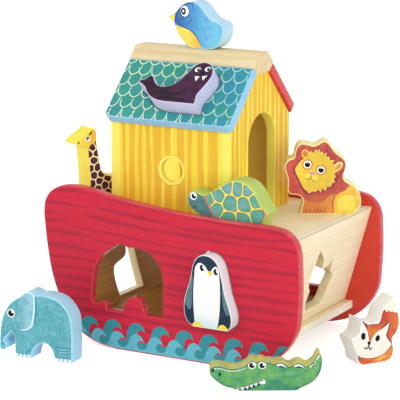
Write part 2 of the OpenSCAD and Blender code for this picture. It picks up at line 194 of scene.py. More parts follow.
# %% Wood
BAND, PORE, BAND_TWIST = (150, 6), (14, 0.5), 0.4  # mm along and across the grain
LATE, PORES, PORE_MOST = (0.36, 0.7), (0.56, 0.74), 0.55
WOOD_ROUGH, WOOD_GLOSS, PORE_DEPTH, PORE_RELIEF = (0.42, 0.58), 0.35, 0.1, 0.2


def bare_wood(name, tones, along=1):
    """Sanded wood in tones of early and late growth and of pores, with the grain along one axis."""
    material = bpy.data.materials.new(name)
    tree = blank(material)
    early, late, pore = (linear(chart) for chart in tones.split())
    place = add(tree, "ShaderNodeTexCoord").outputs["Object"]
    patterns = []
    for size, detail, twist in ((BAND, 3, BAND_TWIST), (PORE, 2, 0)):
        grain = add(tree, "ShaderNodeMapping", {"Vector": place,
            "Scale": [size[axis != along]*MM for axis in range(3)]}, vector_type="TEXTURE")
        patterns.append(add(tree, "ShaderNodeTexNoise", {"Vector": grain, "Scale": 1, "Detail": detail,
            "Distortion": twist}))
    growth, vessel = patterns
    tone = coat(tree, coat(tree, early, late, growth, LATE), pore, vessel, PORES, PORE_MOST)
    varnish(tree, tone, growth, WOOD_ROUGH, vessel, PORE_DEPTH, PORE_RELIEF, WOOD_GLOSS)
    return material


# Creamy faces with faint bands
wood_across = bare_wood("lime_wood_grain_across", "#fdf2d2 #f7e4b8 #e6c98e")
print(wood_across.name, "has", len(wood_across.node_tree.nodes), "nodes")

# %% [markdown]
# ## From solid to sanded board
# Every piece is a board or a block sawn from one, so it has two flat faces with the same outline.
# A bevel modifier would do for a box, but these outlines have hundreds of short edges, on which it
# folds over. So the outlines are read off the solid, moved into the face in small steps, and the
# rings that this leaves become a rounded edge. Where a short edge shrinks away, its ends are joined.

# %% Outlines of a solid's flat face
WELD = 1e-6
LEVEL, FACING = 20*WELD, 0.999


def outlines(node, face):
    """The outer outline of the flat face that looks along face, then its holes. The wood lies on the left."""
    bm = bmesh.new()
    bm.from_mesh(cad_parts[node].data)
    bmesh.ops.remove_doubles(bm, verts=bm.verts, dist=WELD)
    bm.faces.index_update()
    reach = max(v.co.dot(face) for v in bm.verts)
    flat = [f for f in bm.faces if f.normal.dot(face) > FACING
            and reach - f.calc_center_median().dot(face) < LEVEL]
    known = {f.index for f in flat}
    follow = {}
    for f in flat:
        for corner in f.loops:
            if not any(g.index in known for g in corner.edge.link_faces if g is not f):
                follow[corner.vert] = corner.link_loop_next.vert
    loops = []
    while follow:
        vert = next(iter(follow))
        loop = []
        while vert in follow:
            loop.append(vert.co.copy())
            vert = follow.pop(vert)
        loops.append(loop)
    bm.free()
    return sorted(loops, key=lambda loop: -max((p - loop[0]).length for p in loop))


def matched(front, back):
    """The back outlines in the order of the front ones, point for point."""
    pairs = []
    for loop in front:
        middle = sum(loop, Vector())/len(loop)
        other = min((b for b in back if len(b) == len(loop)),
                    key=lambda b: (sum(b, Vector())/len(b) - middle).length)
        other = other[::-1]
        start = min(range(len(other)), key=lambda i: (other[i] - loop[0]).length)
        pairs.append((loop, other[start:] + other[:start]))
    return pairs


print("points in the front hull side's outlines:", [len(loop) for loop in outlines("hull_side_front", -Y)])

# %% Rounded corners and insets
SHARP = math.radians(24)
BENDS = (0, 0.25, 0.5, 0.75, 1)
EDGE_SHARE, LEAST_LEAN, INSET_STEPS = 0.4, 0.12, 4


def eased(front, back, radius):
    """Both outlines with their sharp corners rounded alike."""
    n = len(front)
    made = [], []
    for i in range(n):
        turn = (front[i] - front[i - 1]).angle(front[(i + 1) % n] - front[i], 0)
        for loop, out in zip((front, back), made):
            here, before, after = loop[i], loop[i - 1] - loop[i], loop[(i + 1) % n] - loop[i]
            if turn < SHARP:
                out.append(here)
                continue
            reach = min(radius*math.tan(turn/2), EDGE_SHARE*before.length, EDGE_SHARE*after.length)
            a, b = here + before.normalized()*reach, here + after.normalized()*reach
            out.extend((1 - s)**2*a + 2*s*(1 - s)*here + s*s*b for s in BENDS)
    return made


def shifted(ring, step):
    """The ring moved to its left by a step, and the first edge that turned round, if any."""
    edge = np.roll(ring, -1, 0) - ring
    edge /= np.linalg.norm(edge, axis=1, keepdims=True)
    side = np.stack([-edge[:, 1], edge[:, 0]], 1)
    last = np.roll(side, 1, 0)
    lean = np.maximum(1 + (side*last).sum(1, keepdims=True), LEAST_LEAN)
    moved = ring + step*(side + last)/lean
    kept = ((np.roll(moved, -1, 0) - moved)*edge).sum(1)
    return moved, int(kept.argmin()) if kept.min() <= 0 else None


def insets(points, depths):
    """The outline moved into the wood to each depth in turn; joined points are repeated."""
    ring, home, rings, deep = np.array(points, float), np.arange(len(points)), [], 0
    for depth in depths:
        step = (depth - deep)/INSET_STEPS
        for _ in range(INSET_STEPS):
            moved, turned = shifted(ring, step)
            while turned is not None and len(ring) > 4:
                after = (turned + 1) % len(ring)
                ring[turned] = (ring[turned] + ring[after])/2
                ring = np.delete(ring, after, 0)
                home = np.where(home == after, turned, home)
                home = np.where(home > after, home - 1, home)
                moved, turned = shifted(ring, step)
            ring = moved
        deep = depth
        rings.append(ring[home])
    return rings


tile = [(0, 0), (10, 0), (10, 10), (0, 10)]
inner_tile = insets(tile, [1])[0].tolist()
print("a 10 mm tile, 1 mm in:", inner_tile)

# %% [markdown]
# ## Pictures on a flat face
# The pictures are painted on flat faces, so they need no thickness of their own. Shader nodes could
# draw a few circles, but a picture with dozens of shapes is easier to cut into the face: a
# constrained triangulation takes the outline, its holes and all painted shapes, and says for every
# triangle in which shapes it lies. The shape that was painted last gives the triangle its paint.

# %% Painted face
INSIDE_ONLY, SAME_POINT, LONGEST_RUN = 1, 1e-5, 99


def painted_face(loops, picture):
    """Triangles of a face in mm: points, triangles, the paint of each, and each loop's points in order."""
    points, rings = [], []
    shapes = [loops[0]] + [loop[::-1] for loop in loops[1:]] + [shape for _, shape in picture]
    for shape in shapes:
        rings.append(list(range(len(points), len(points) + len(shape))))
        points.extend(Vector(p) for p in shape)
    for ring in rings[len(loops):]:
        a = np.array([points[i] for i in ring])
        if (a[:, 0]*np.roll(a[:, 1], -1) - a[:, 1]*np.roll(a[:, 0], -1)).sum() < 0:
            ring.reverse()
    spots, _, triangles, sources, _, inside = delaunay_2d_cdt(points, [], rings, INSIDE_ONLY, SAME_POINT, True)
    place = {source: i for i, found in enumerate(sources) for source in found}
    holes = set(range(1, len(loops)))
    kept, worn = [], []
    for triangle, within in zip(triangles, inside):
        if 0 in within and not holes & set(within):
            kept.append(triangle)
            worn.append(max(within) - len(loops))
    borders = [[place[i] for i in (ring if k == 0 else ring[::-1])] for k, ring in enumerate(rings[:len(loops)])]
    used = sorted({i for group in kept + borders for i in group})
    number = {old: new for new, old in enumerate(used)}
    spots = np.array([spots[i][:] for i in used])
    kept = [[number[i] for i in triangle] for triangle in kept]
    sides = {(a, b) for triangle in kept for a, b in zip(triangle, triangle[1:] + triangle[:1])}
    follow = {a: b for a, b in sides if (b, a) not in sides}
    return spots, kept, worn, [with_crossings([number[i] for i in border], follow) for border in borders]


def with_crossings(border, follow):
    """For each edge of a border, the points where a painted shape crosses it, in order."""
    crossings = []
    for a, b in zip(border, border[1:] + border[:1]):
        run = [a]
        while a != b and follow[run[-1]] != b and len(run) < LONGEST_RUN:
            run.append(follow[run[-1]])
        crossings.append((a, run[1:], b))
    return crossings


print("a tile painted on a tile:", len(painted_face([tile], [(hull_red, inner_tile)])[1]), "triangles")

# %% The board itself
ROUND_STEPS = 4
CREASE = math.radians(50)


def half_board(pairs, face, up, rims, picture, origin, base, points, faces):
    """Adds one painted face with its rounded edges. rims: radius and paint of each outline's edge; an entry of
    faces: corners, paint, and whether it is smooth. Returns the rings where the straight sides start."""
    right = up.cross(face)
    feet, loops, leans = [], [], []
    for here, there in pairs:
        loops.append([((p - origin).dot(right)/MM, (p - origin).dot(up)/MM) for p in here])
        leans.append([(q - p)/abs((q - p).dot(face)) for p, q in zip(here, there)])
    level = (pairs[0][0][0] - origin).dot(face)
    angles = [math.pi/2*(1 - k/ROUND_STEPS) for k in range(ROUND_STEPS + 1)]
    rings = [insets(loop, [radius*(1 - math.sin(a)) for a in angles]) for loop, (radius, _) in zip(loops, rims)]
    spots, triangles, worn, borders = painted_face([r[-1] for r in rings], picture)
    first = len(points)
    points.extend(origin + right*(u*MM) + up*(v*MM) + face*level for u, v in spots)
    faces.extend(([first + i for i in triangle], base if w < 0 else picture[w][0], False)
                 for triangle, w in zip(triangles, worn))
    for ring, lean, border, (radius, edge) in zip(rings, leans, borders, rims):
        n = len(lean)
        rows = []
        for k in range(ROUND_STEPS):
            drop = radius*(1 - math.cos(angles[k]))*MM
            rows.append(len(points))
            points.extend(origin + right*(u*MM) + up*(v*MM) + face*level + way*drop
                          for (u, v), way in zip(ring[k], lean))
        feet.append([rows[0] + i for i in range(n)])
        for i in range(n):
            j = (i + 1) % n
            for low, high in zip(rows, rows[1:]):
                faces.append(([low + i, low + j, high + j, high + i], edge, True))
            a, found, b = border[i]
            inner = [first + k for k in (b, *found[::-1], a)]
            faces.append(([rows[-1] + i, rows[-1] + j, *inner], edge, True))
    return feet


def board(node, face, up, body, slot, base, edge, picture=(), back=None, back_picture=(), origin=Vector(),
          radius=1.2, corner=1.2, rim=None, hole=None):
    """Stands for one solid: two painted faces, rounded edges and straight sides in the edge paint.
    rim: another paint for the rounded edge; hole: radius and paint round its holes."""
    pairs = [eased(*pair, corner*MM) for pair in matched(outlines(node, face), outlines(node, -face))]
    hole = hole or (radius, edge)
    rims = [(radius, rim or edge)] + [hole]*(len(pairs) - 1)
    points, faces = [], []
    feet = half_board(pairs, face, up, rims, picture, origin, base, points, faces)
    behind = [(there[::-1], here[::-1]) for here, there in pairs]
    soles = half_board(behind, -face, up, rims, back_picture, origin, back or base, points, faces)
    for foot, sole, side in zip(feet, soles, [edge] + [hole[1]]*(len(pairs) - 1)):
        n = len(foot)
        for i in range(n):
            j = (i + 1) % n
            faces.append(([sole[n - 1 - i], sole[n - 1 - j], foot[j], foot[i]], side, True))
    faces = [(list(dict.fromkeys(corners)), *finish) for corners, *finish in faces]
    corners, paints, smooth = zip(*(f for f in faces if len(f[0]) > 2))
    made = bpy.data.meshes.new(node + "_piece")
    made.from_pydata(points, [], corners)
    worn = list(dict.fromkeys(paints))
    for finish in worn:
        made.materials.append(finish)
    made.polygons.foreach_set("material_index", [worn.index(p) for p in paints])
    made.polygons.foreach_set("use_smooth", smooth)
    bm = bmesh.new()
    bm.from_mesh(made)
    bmesh.ops.remove_doubles(bm, verts=bm.verts, dist=2*WELD)
    bm.to_mesh(made)
    loose = sum(not e.is_manifold for e in bm.edges)
    bm.free()
    made.set_sharp_from_angle(angle=CREASE)
    piece = put(node + "_piece", made)
    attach(piece, body)
    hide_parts(node)
    print(node, len(made.polygons), "faces,", len(worn), "paints,", loose, "open edges")
    return piece


# %% [markdown]
# ## Brush strokes, dots and patches
# Every picture is made of a few kinds of marks. A dot is an ellipse, a patch is a smooth closed curve
# through a few points, and a stroke is a line that swells and tapers as a round brush does. They
# are all outlines in millimetres on the face, u to the right and v up.

# %% Marks
def dot(u, v, wide, tall=None, turn=0, sides=20):
    """An ellipse with these half axes."""
    c, s = math.cos(math.radians(turn)), math.sin(math.radians(turn))
    angles = [math.tau*k/sides for k in range(sides)]
    round_points = [(wide*math.cos(a), (tall or wide)*math.sin(a)) for a in angles]
    return [(u + x*c - y*s, v + x*s + y*c) for x, y in round_points]


def curve(points, closed, steps=5):
    """Points on a smooth curve through these."""
    p = np.array(points, float)
    n = len(p)
    made = []
    for i in range(n if closed else n - 1):
        a, b, c, d = (p[(i + k) % n] if closed else p[min(max(i + k, 0), n - 1)] for k in (-1, 0, 1, 2))
        for s in np.arange(steps)/steps:
            made.append(0.5*(2*b + (c - a)*s + (2*a - 5*b + 4*c - d)*s*s + (3*b - a - 3*c + d)*s**3))
    return np.array(made if closed else made + [p[-1]])


def patch(*points):
    """A smooth closed shape through these points."""
    return curve(points, True).tolist()


def stroke(points, wide, ends=0.25):
    """A brush stroke of this width; ends is how much of it is left at its two ends."""
    line = curve(points, False, 4)
    way = np.gradient(line, axis=0)
    way /= np.linalg.norm(way, axis=1, keepdims=True)
    side = np.stack([-way[:, 1], way[:, 0]], 1)
    along = np.linspace(0, math.pi, len(line))
    half = (wide/2*(ends + (1 - ends)*np.sin(along)**0.6))[:, None]
    return (line - side*half).tolist() + (line + side*half)[::-1].tolist()


def marks(finish, kind, *given):
    """Several dots, patches or strokes in one paint."""
    return [(finish, kind(*values)) for values in given]


def mirrored(picture):
    """The picture as the back of a board shows it."""
    return [(finish, [(-u, v) for u, v in shape]) for finish, shape in picture]


print("a stroke has", len(stroke([(0, 0), (5, 2), (9, 0)], 1)), "points")

# %% [markdown]
# ## Hull
# Two red side boards carry the ark. Long deeper strokes run along them, like the planks of a ship, and
# two rows of waves are painted along the foot of their outer faces, cut off by the curved bilge. One wave
# of each row is drawn and a loop sets it out; the strokes are drawn from seeded chance. The
# inner faces are plain red, and the ends, floor and deck are bare wood.

# %% Hull finishes
# The plank strokes are the hull's red with more body, so they read as shade and not as lines
PLANK = dict(streak=(60, 2), amount=0.5, gloss=0.2)
hull_plank = paint("hull_plank_stroke_paint", "#b5243c #bf2c44 #ab2138", **PLANK)
hull_soft = paint("hull_plank_soft_edge_paint", "#c6253f #ce2e48 #be233c", **PLANK)
# The rounded edge is smoother and catches the light, and its paler tones are a painted highlight along it
hull_rim_painted_highlight = paint("hull_rim_gloss_and_painted_highlight_paint", "#d23a45 #e06468 #c2323d", streak=(30, 3), shine=0.27)
# The insides got one warmer, plainer coat
hull_inside = paint("hull_inside_paint", "#d8402f #df4c3c #c8382e", streak=(40, 5), amount=0.5)
# Sea colours with short level brush marks
wave_dark = paint("wave_deep_teal_paint", "#2f929d #3a9ea9 #29848f", streak=(14, 3), amount=0.5)
wave_light = paint("wave_aqua_paint", "#63bfd0 #79cbdb #55b0c4", streak=(14, 3), amount=0.5)
# The deck is as creamy as the end walls; the ridge beam is from a browner board
wood_along = bare_wood("lime_wood_grain_along", "#fff6d4 #fde8b6 #efd092", 0)
wood_ridge = bare_wood("lime_wood_ridge_beam", "#eedbae #e4c992 #cfa96a", 0)
# Sawn edges are painted paler than the faces, a painted highlight on the lit edges and the floor's ledge, and the
# arris between them is painted grey, a painted shadow line along the seams
wood_edge_painted_highlight = bare_wood("lime_wood_sawn_edge_painted_highlight", "#fffaea #fbf0d2 #ecd8aa")
wood_arris_painted_shadow = bare_wood("lime_wood_arris_painted_shadow", "#d6c8a4 #c8b890 #b4a074")
# The cut-outs' walls are painted a shade browner, painted shade inside the holes
wood_cut_painted_shade = bare_wood("lime_wood_cut_painted_shade", "#fff4ca #fde8b0 #f0d292")
# Inside the hold the wood is painted a darker honey tone, painted shade for the dim closed hold
wood_hold_painted_shade = bare_wood("hold_wood_painted_shade", "#d3a04a #bf8636 #9c6824")
print(len(bpy.data.materials), "materials so far")

# %% Waves
FRONT_PITCH, BACK_PITCH = 21.4, 26.7
FRONT_CREST, BACK_CREST = 7.1, 19.0
FOOT, SWELL = -6, 10.6
front_wave = [(-12, 3.9), (-9.3, 6.5), (-7.6, 11), (-5, 16), (0, 18.8), (4.6, 17.4), (7.6, 14.8), (8.9, 11.8),
    (5.6, 12.7), (2.7, 11.3), (1, 8), (2.3, 5.2), (5.6, 3.8), (9.4, 3.9)]
back_wave = [(-14, 2), (-12, 12.5), (-10.2, 21.5), (-6.2, 27.6), (0, 29.7), (5.2, 28.2), (8.2, 25), (9.3, 21),
    (6.4, 22.7), (3.1, 22.3), (0.4, 19.9), (-0.6, 16.4), (-0.2, 11), (3, 4), (6, 2)]


def wave_row(finish, wave, pitch, crest, count):
    """Waves of one row, each closed below the board's edge."""
    row = []
    for k in range(-count, count + 1):
        line = curve(wave, False, 4) + [crest + k*pitch, 0]
        row.append((finish, line.tolist() + [(line[-1][0], FOOT), (line[0][0], FOOT)]))
    return row


hull_low, hull_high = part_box("hull_side_front")
bow, stern = hull_low.x/MM, hull_high.x/MM
waves = [(wave_dark, [(bow, FOOT), (stern, FOOT), (stern, SWELL), (bow, SWELL)])]
waves += wave_row(wave_dark, back_wave, BACK_PITCH, BACK_CREST, 5)
waves += wave_row(wave_light, front_wave, FRONT_PITCH, FRONT_CREST, 6)
print(len(waves), "wave shapes")

# %% Plank strokes
PLANK_ROW, LOWEST_ROW, TOP_MARGIN = 9.8, 12, 4
LENGTHS, WIDTHS, HEART = (70, 190), (3, 7.4), 0.55
STAGGER, WOBBLE, DRIFT, NEXT = (0, 70), 0.6, (-2, 2), (0.8, 1.2)
SOFT_ENDS, HEART_ENDS = 0.04, 0.02
SHEER = [(-140, 14), (-100, 13.5), (-60, 8), (-20, 4), (30, 1), (90, 0), (140, -1)]


def plank_strokes(seed):
    """Long tapered strokes in uneven rows; the higher they lie, the more they follow the sheer."""
    chance = np.random.default_rng(seed)
    made = []
    for row in np.arange(LOWEST_ROW, hull_high.z/MM - TOP_MARGIN, PLANK_ROW):
        start = bow - chance.uniform(*STAGGER)
        while start < stern:
            long = chance.uniform(*LENGTHS)
            along = start + long*np.linspace(0, 1, 6)
            rise = np.interp(along, *zip(*SHEER))*row/hull_high.z*MM
            line = list(zip(along, row + rise + chance.normal(0, WOBBLE, 6) + chance.uniform(*DRIFT)))
            wide = chance.uniform(*WIDTHS)
            made += [(hull_soft, stroke(line, wide, SOFT_ENDS)), (hull_plank, stroke(line, HEART*wide, HEART_ENDS))]
            start += long*chance.uniform(*NEXT)
    return made


planks = plank_strokes(11)
print(len(planks), "plank strokes")

# %% Hull boards
# The side boards' rounded edges and hole edges carry the painted highlight
SIDE = dict(body="hull", slot="red_paint", base=hull_red, edge=hull_rim_painted_highlight, back=hull_inside, radius=1.6, corner=0.8,
    hole=(0.8, hull_rim_painted_highlight))
WOODEN = dict(body="hull", slot="natural_wood", edge=wood_edge_painted_highlight)
LEDGE, HOLD_MARGIN = 8.5*MM, 10
board("hull_side_front", -Y, Z, picture=planks + waves, **SIDE)
board("hull_side_back", Y, Z, picture=mirrored(planks + waves), **SIDE)
end_low, end_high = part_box("hull_end_right")
floor_high, deck_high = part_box("hull_floor")[1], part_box("deck")[1]
lean = Vector((end_high.x - (floor_high.x - LEDGE), 0, end_high.z - end_low.z)).normalized()
# The end walls' cut-outs carry the painted shade on their walls
# The end walls' rounded edges carry the painted shadow line, and their sawn sides the painted highlight
for side, node in ((1, "hull_end_right"), (-1, "hull_end_left")):
    outward, slope = Vector((side*lean.z, 0, -lean.x)), Vector((side*lean.x, 0, lean.z))
    board(node, outward, slope, base=wood_across, back=wood_hold_painted_shade, radius=0.9, corner=0.8, rim=wood_arris_painted_shadow,
        hole=(0.7, wood_cut_painted_shade), **WOODEN)
# The floor's top between the end walls, the deck's underside and the end walls' inner faces carry the hold's
# painted shade
long, wide = (floor_high.x - LEDGE)/MM - HOLD_MARGIN, floor_high.y/MM
hold_floor_painted_shade = [(wood_hold_painted_shade, [(-wide, -long), (wide, -long), (wide, long), (-wide, long)])]
board("hull_floor", Z, X, base=wood_across, picture=hold_floor_painted_shade, **WOODEN)
board("deck", Z, Y, base=wood_along, back=wood_hold_painted_shade, **WOODEN)

# %% [markdown]
# ## House
# The house walls are yellow with upright amber bands of uneven width, like painted planks, and a thin
# lemon stroke beside each band. The round window has a paler painted ring, and the gables' edges at
# the corners stay plain lemon yellow.

# %% House finishes and bands
# Warm yellow and amber, matt, with upright brush marks
house_yellow = paint("house_yellow_paint", "#fcde46 #fde95e #f9d23c", streak=(3, 60), amount=0.6, gloss=0.12)
house_amber = paint("house_amber_band_paint", "#f1be3a #f5ca4a #ecb230", streak=(3, 50), amount=0.6, gloss=0.12)
# Edges and thin strokes are lemon, and look lit beside the amber
house_lemon = paint("house_lemon_edge_paint", "#fff066 #fff47c #fde658", streak=(3, 50), amount=0.6)
# The cut round the door is painted a warmer yellow, painted light that keeps it golden where it lies in shade
house_reveal_painted_light = paint("house_door_edge_painted_light", "#ffd040 #ffda54 #f8c334", streak=(3, 40), amount=0.6)
# Inside, the gables are lemon too and the long walls a plain ochre coat
house_inside = paint("house_inside_paint", "#f8d05e #fddc70 #edbe52", streak=(3, 50), amount=0.6)
gable_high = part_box("gable_right")[1]
hand = np.random.default_rng(7)
SWAY, GAP, THIN, THIN_SWAY, OVERRUN = 0.7, (1, 2), (0.9, 1.6), 0.3, 12


def upright_bands(bands, low, high):
    """Amber bands between two heights, each with a lemon stroke. bands: left edge and width in mm."""
    made = []
    heights = np.linspace(low, high, 6)
    for left, wide in bands:
        sway = hand.normal(0, SWAY, (2, 6))
        a = [(left + s, h) for s, h in zip(sway[0], heights)]
        b = [(left + wide + s, h) for s, h in zip(sway[1], heights)]
        made.append((house_amber, curve(a, False).tolist() + curve(b, False)[::-1].tolist()))
    for left, wide in bands:
        ends = np.sort(hand.uniform(low, high, 2))
        beside = left + wide + hand.uniform(*GAP) + hand.normal(0, THIN_SWAY, 5)
        line = list(zip(beside, np.linspace(ends[0], ends[1] + OVERRUN, 5)))
        made.append((house_lemon, stroke(line, hand.uniform(*THIN), 0.1)))
    return made


WALL_BANDS = [(-68.5, 3.5), (-61, 6.8), (-50, 4), (-42.2, 4.8), (-34.2, 8.5), (-21, 6.5), (-8.5, 8.8), (3.8, 4),
    (15.7, 5.6), (26, 10.6)]
GABLE_BANDS = [(-57, 3), (-51, 5.5), (-41.5, 3.2), (-34.6, 6), (-23.5, 4), (-16, 7), (-5.5, 3.6), (2, 6.2),
    (13, 4.5), (21.5, 7), (33, 4), (41, 6.5), (52, 4.5)]
SKIRT, PEAK = deck_high.z/MM - 2, gable_high.z/MM + 2
WINDOW, RING_EDGE, RING = (-14, 176.5), 15.3, 14.6
wall_bands = upright_bands(WALL_BANDS, SKIRT, PEAK)
gable_bands = upright_bands(GABLE_BANDS, SKIRT, PEAK)
window_ring = [(house_amber, dot(*WINDOW, RING_EDGE, sides=48)), (house_lemon, dot(*WINDOW, RING, sides=48))]
print(len(wall_bands), "bands and strokes on a long wall,", len(gable_bands), "on a gable")

# %% House boards
HOUSE = dict(up=Z, body="hull", slot="yellow_paint", base=house_yellow, edge=house_lemon)
WALL = dict(back=house_inside, radius=0.7, corner=0.5, **HOUSE)
GABLE = dict(picture=gable_bands, back=house_lemon, radius=1, corner=1, **HOUSE)
board("house_wall_front", -Y, picture=wall_bands + window_ring, **WALL)
board("house_wall_back", Y, picture=mirrored(wall_bands), **WALL)
# The door's cut takes the warmer painted light
board("gable_right", X, hole=(1, house_reveal_painted_light), **GABLE)
board("gable_left", -X, **GABLE)

# %% [markdown]
# ## Roof
# The front slab is teal going to blue, with pale edges, the back one is red, and the bare ridge
# beam caps both.

# %% Roof boards
PITCH = math.pi/4
HALF = math.sqrt(0.5)
roof_low, roof_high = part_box("roof_panel_front")
roof_out, roof_up = Vector((0, -HALF, HALF)), Vector((0, HALF, HALF))
lowest = max(outlines("roof_panel_front", roof_out)[0], key=lambda p: -p.dot(roof_up))
eave = Vector(((roof_low.x + roof_high.x)/2, lowest.y, lowest.z))
roof_spot = (tuple(eave), (PITCH, 0, 0))
# Teal that turns blue to the right, with greener washes
roof_teal = paint("roof_teal_paint", "#2c988e #40a896 #288aa0", roof_spot, streak=(20, 6), cloud=30,
    fade=("#2b92aa", 0, -30, 75), tint=("#269a84", 26))
# The pale edge draws a line round the slab, and the red slab is glossier
roof_pale = paint("roof_pale_blue_edge_paint", "#98d0f4 #aedcf8 #86c2ec", streak=(30, 3))
roof_red = paint("roof_red_paint", "#d63a3c #e35650 #c22f38", streak=(40, 4), shine=0.3)
roof_front = board("roof_panel_front", roof_out, roof_up, "roof", "teal_paint", roof_teal, roof_pale, radius=1.1,
    corner=1.5, hole=(0.5, roof_teal))
board("roof_panel_back", roof_up, roof_out, "roof", "roof_red_paint", roof_red, roof_red, radius=1.8, corner=1.5)
board("ridge_beam", X, Z, "roof", "natural_wood", wood_ridge, wood_ridge, radius=2, corner=3)

# %% [markdown]
# ## Roof scales
# Rows of pale U-shaped strokes make the roof look tiled. Strokes by hand would all need trimming at the
# slab's edges and round the animal's hole, so Geometry Nodes set them out: points in staggered rows, one
# stroke on each, then every face with no slab right under it is deleted and the rest gets
# the thickness of a loaded brush stroke.

# %% One stroke
SCALE_PITCH, SCALE_ROW, FIRST_ROW, FILM = 13, 13.2, -1.5, 0.12
# Cream that cools to pale blue, with some of the teal showing through
scale_paint = paint("roof_scale_cream_paint", "#e6f6d6 #f6fce6 #bce6d2", roof_spot, streak=(8, 4),
    fade=("#96d4da", 0, 10, 62))
u_shape = [(-6.3, 10.4), (-5.9, 6.6), (-4.3, 2.6), (0, 0), (4.5, 2.8), (6.2, 7.6), (6.6, 13.4)]
u_outline = np.array(stroke(u_shape, 1.2, 0.3))*MM
steps = len(u_outline)//2
ribbon = bpy.data.meshes.new("scale_stroke")
ribbon.from_pydata([(u, v, 0) for u, v in u_outline], [],
    [(i, i + 1, 2*steps - 2 - i, 2*steps - 1 - i) for i in range(steps - 1)])
print("stroke of", len(ribbon.polygons), "faces")

# %% The tree that tiles the roof
tiling = bpy.data.node_groups.new("tile_roof_with_strokes", "GeometryNodeTree")
SOCKETS = {"Stroke": "Geometry", "Slab": "Object", "Columns": "Int", "Rows": "Int", "Pitch": "Float",
    "Row": "Float", "Eave": "Vector", "Slope": "Vector", "Out": "Vector", "Film": "Float", "Seed": "Int",
    "Finish": "Material"}
keys = {name: tiling.interface.new_socket(name, in_out="INPUT", socket_type="NodeSocket" + kind).identifier
        for name, kind in SOCKETS.items()}
tiling.interface.new_socket("Strokes", in_out="OUTPUT", socket_type="NodeSocketGeometry")
given = add(tiling, "NodeGroupInput").outputs
known = {name: given[name] for name in SOCKETS}
known["index"] = add(tiling, "GeometryNodeInputIndex")
for name, work, *terms in (("count", "MULTIPLY", "Columns", "Rows"), ("column", "MODULO", "index", "Columns"),
        ("part", "DIVIDE", "index", "Columns"), ("row", "FLOOR", "part"), ("odd", "MODULO", "row", 2.0),
        ("half", "MULTIPLY_ADD", "odd", 0.5, "column"), ("middle", "MULTIPLY_ADD", "Columns", -0.5, "half"),
        ("across", "MULTIPLY", "middle", "Pitch"), ("upward", "MULTIPLY", "row", "Row")):
    known[name] = add(tiling, "ShaderNodeMath", {k: known.get(t, t) for k, t in enumerate(terms)}, operation=work)
spot = add(tiling, "ShaderNodeCombineXYZ", {"X": known["across"], "Y": known["upward"]})
dots = add(tiling, "GeometryNodePoints", {"Count": known["count"], "Position": spot})
TILT, SIZE = ((0, 0, -0.13), (0, 0, 0.13)), ((0.92, 0.9, 1), (1.06, 1.06, 1))
tilt, size = (add(tiling, "FunctionNodeRandomValue", {0: least, 1: most, "Seed": given["Seed"]},
    data_type="FLOAT_VECTOR") for least, most in (TILT, SIZE))
laid = add(tiling, "GeometryNodeInstanceOnPoints", {"Points": dots, "Instance": given["Stroke"], "Rotation": tilt,
    "Scale": size})
flat = add(tiling, "GeometryNodeRealizeInstances", {0: laid})
placed = add(tiling, "GeometryNodeTransform", {"Geometry": flat, "Translation": given["Eave"],
    "Rotation": given["Slope"]})
print("first half of", len(tiling.nodes), "nodes")

# %% The tree's second half: trimming and thickness
RAY_START, RAY, TOGETHER = MM, 1.05*MM, 0.004*MM
slab = add(tiling, "GeometryNodeObjectInfo", {"Object": given["Slab"]}).outputs["Geometry"]
lifted, down = (add(tiling, "ShaderNodeVectorMath", {0: given["Out"], "Scale": way}, operation="SCALE")
    for way in (RAY_START, -1.0))
here = add(tiling, "GeometryNodeInputPosition")
start = add(tiling, "ShaderNodeVectorMath", {0: here, 1: lifted}, operation="ADD")
under = add(tiling, "GeometryNodeRaycast", {"Target Geometry": slab, "Source Position": start,
    "Ray Direction": down, "Ray Length": RAY})
missing = add(tiling, "FunctionNodeBooleanMath", {0: under}, operation="NOT")
trimmed = add(tiling, "GeometryNodeDeleteGeometry", {"Geometry": placed, "Selection": missing}, domain="FACE")
raised = add(tiling, "GeometryNodeExtrudeMesh", {"Mesh": trimmed, "Offset Scale": given["Film"],
    "Individual": False})
sole = add(tiling, "GeometryNodeFlipFaces", {"Mesh": trimmed})
closed = add(tiling, "GeometryNodeJoinGeometry")
for half in (raised, sole):
    tiling.links.new(half.outputs[0], closed.inputs[0])
welded = add(tiling, "GeometryNodeMergeByDistance", {"Geometry": closed, "Distance": TOGETHER})
whole = add(tiling, "GeometryNodeRealizeInstances", {0: welded})
add(tiling, "NodeGroupOutput", {0: add(tiling, "GeometryNodeSetMaterial", {"Geometry": whole,
    "Material": given["Finish"]})})
print("tiling tree of", len(tiling.nodes), "nodes")

# %% Strokes laid on the slab
slab_wide = (roof_high.x - roof_low.x)/MM
slab_long = (roof_high.z - roof_low.z)/MM/HALF
carrier = put("roof_scale_carrier", ribbon)
layout = carrier.modifiers.new("tiling", "NODES")
layout.node_group = tiling
values = {"Slab": roof_front, "Columns": round(slab_wide/SCALE_PITCH) + 2, "Rows": round(slab_long/SCALE_ROW) + 1,
    "Pitch": SCALE_PITCH*MM, "Row": SCALE_ROW*MM, "Eave": eave + roof_up*FIRST_ROW*MM, "Slope": (PITCH, 0, 0),
    "Out": roof_out, "Film": FILM*MM, "Seed": 4, "Finish": scale_paint}
for name, value in values.items():
    layout[keys[name]] = value
view = bpy.context.evaluated_depsgraph_get()
scales_mesh = bpy.data.meshes.new_from_object(carrier.evaluated_get(view), depsgraph=view)
bpy.data.objects.remove(carrier)
scales = put("roof_scales", scales_mesh)
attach(scales, "roof")
print("roof scales", len(scales_mesh.polygons), "faces")

# %% [markdown]
# ## Animal blocks
# Each animal is a thick block with its picture on the flat faces and pale paint round the sides. The
# picture is drawn once, facing left, on the block's own axes, and the back has it mirrored. What all
# animals share comes first: white and black for the eyes.

# %% What the animals share
BLOCK_CORNER = 0.8
eye_white = paint("eye_white_paint", "#fdfdfa #ffffff #f4f4f0", amount=0.4)
eye_black = paint("eye_black_paint", "#0a090d #141318 #060508", amount=0.4, gloss=0.12)


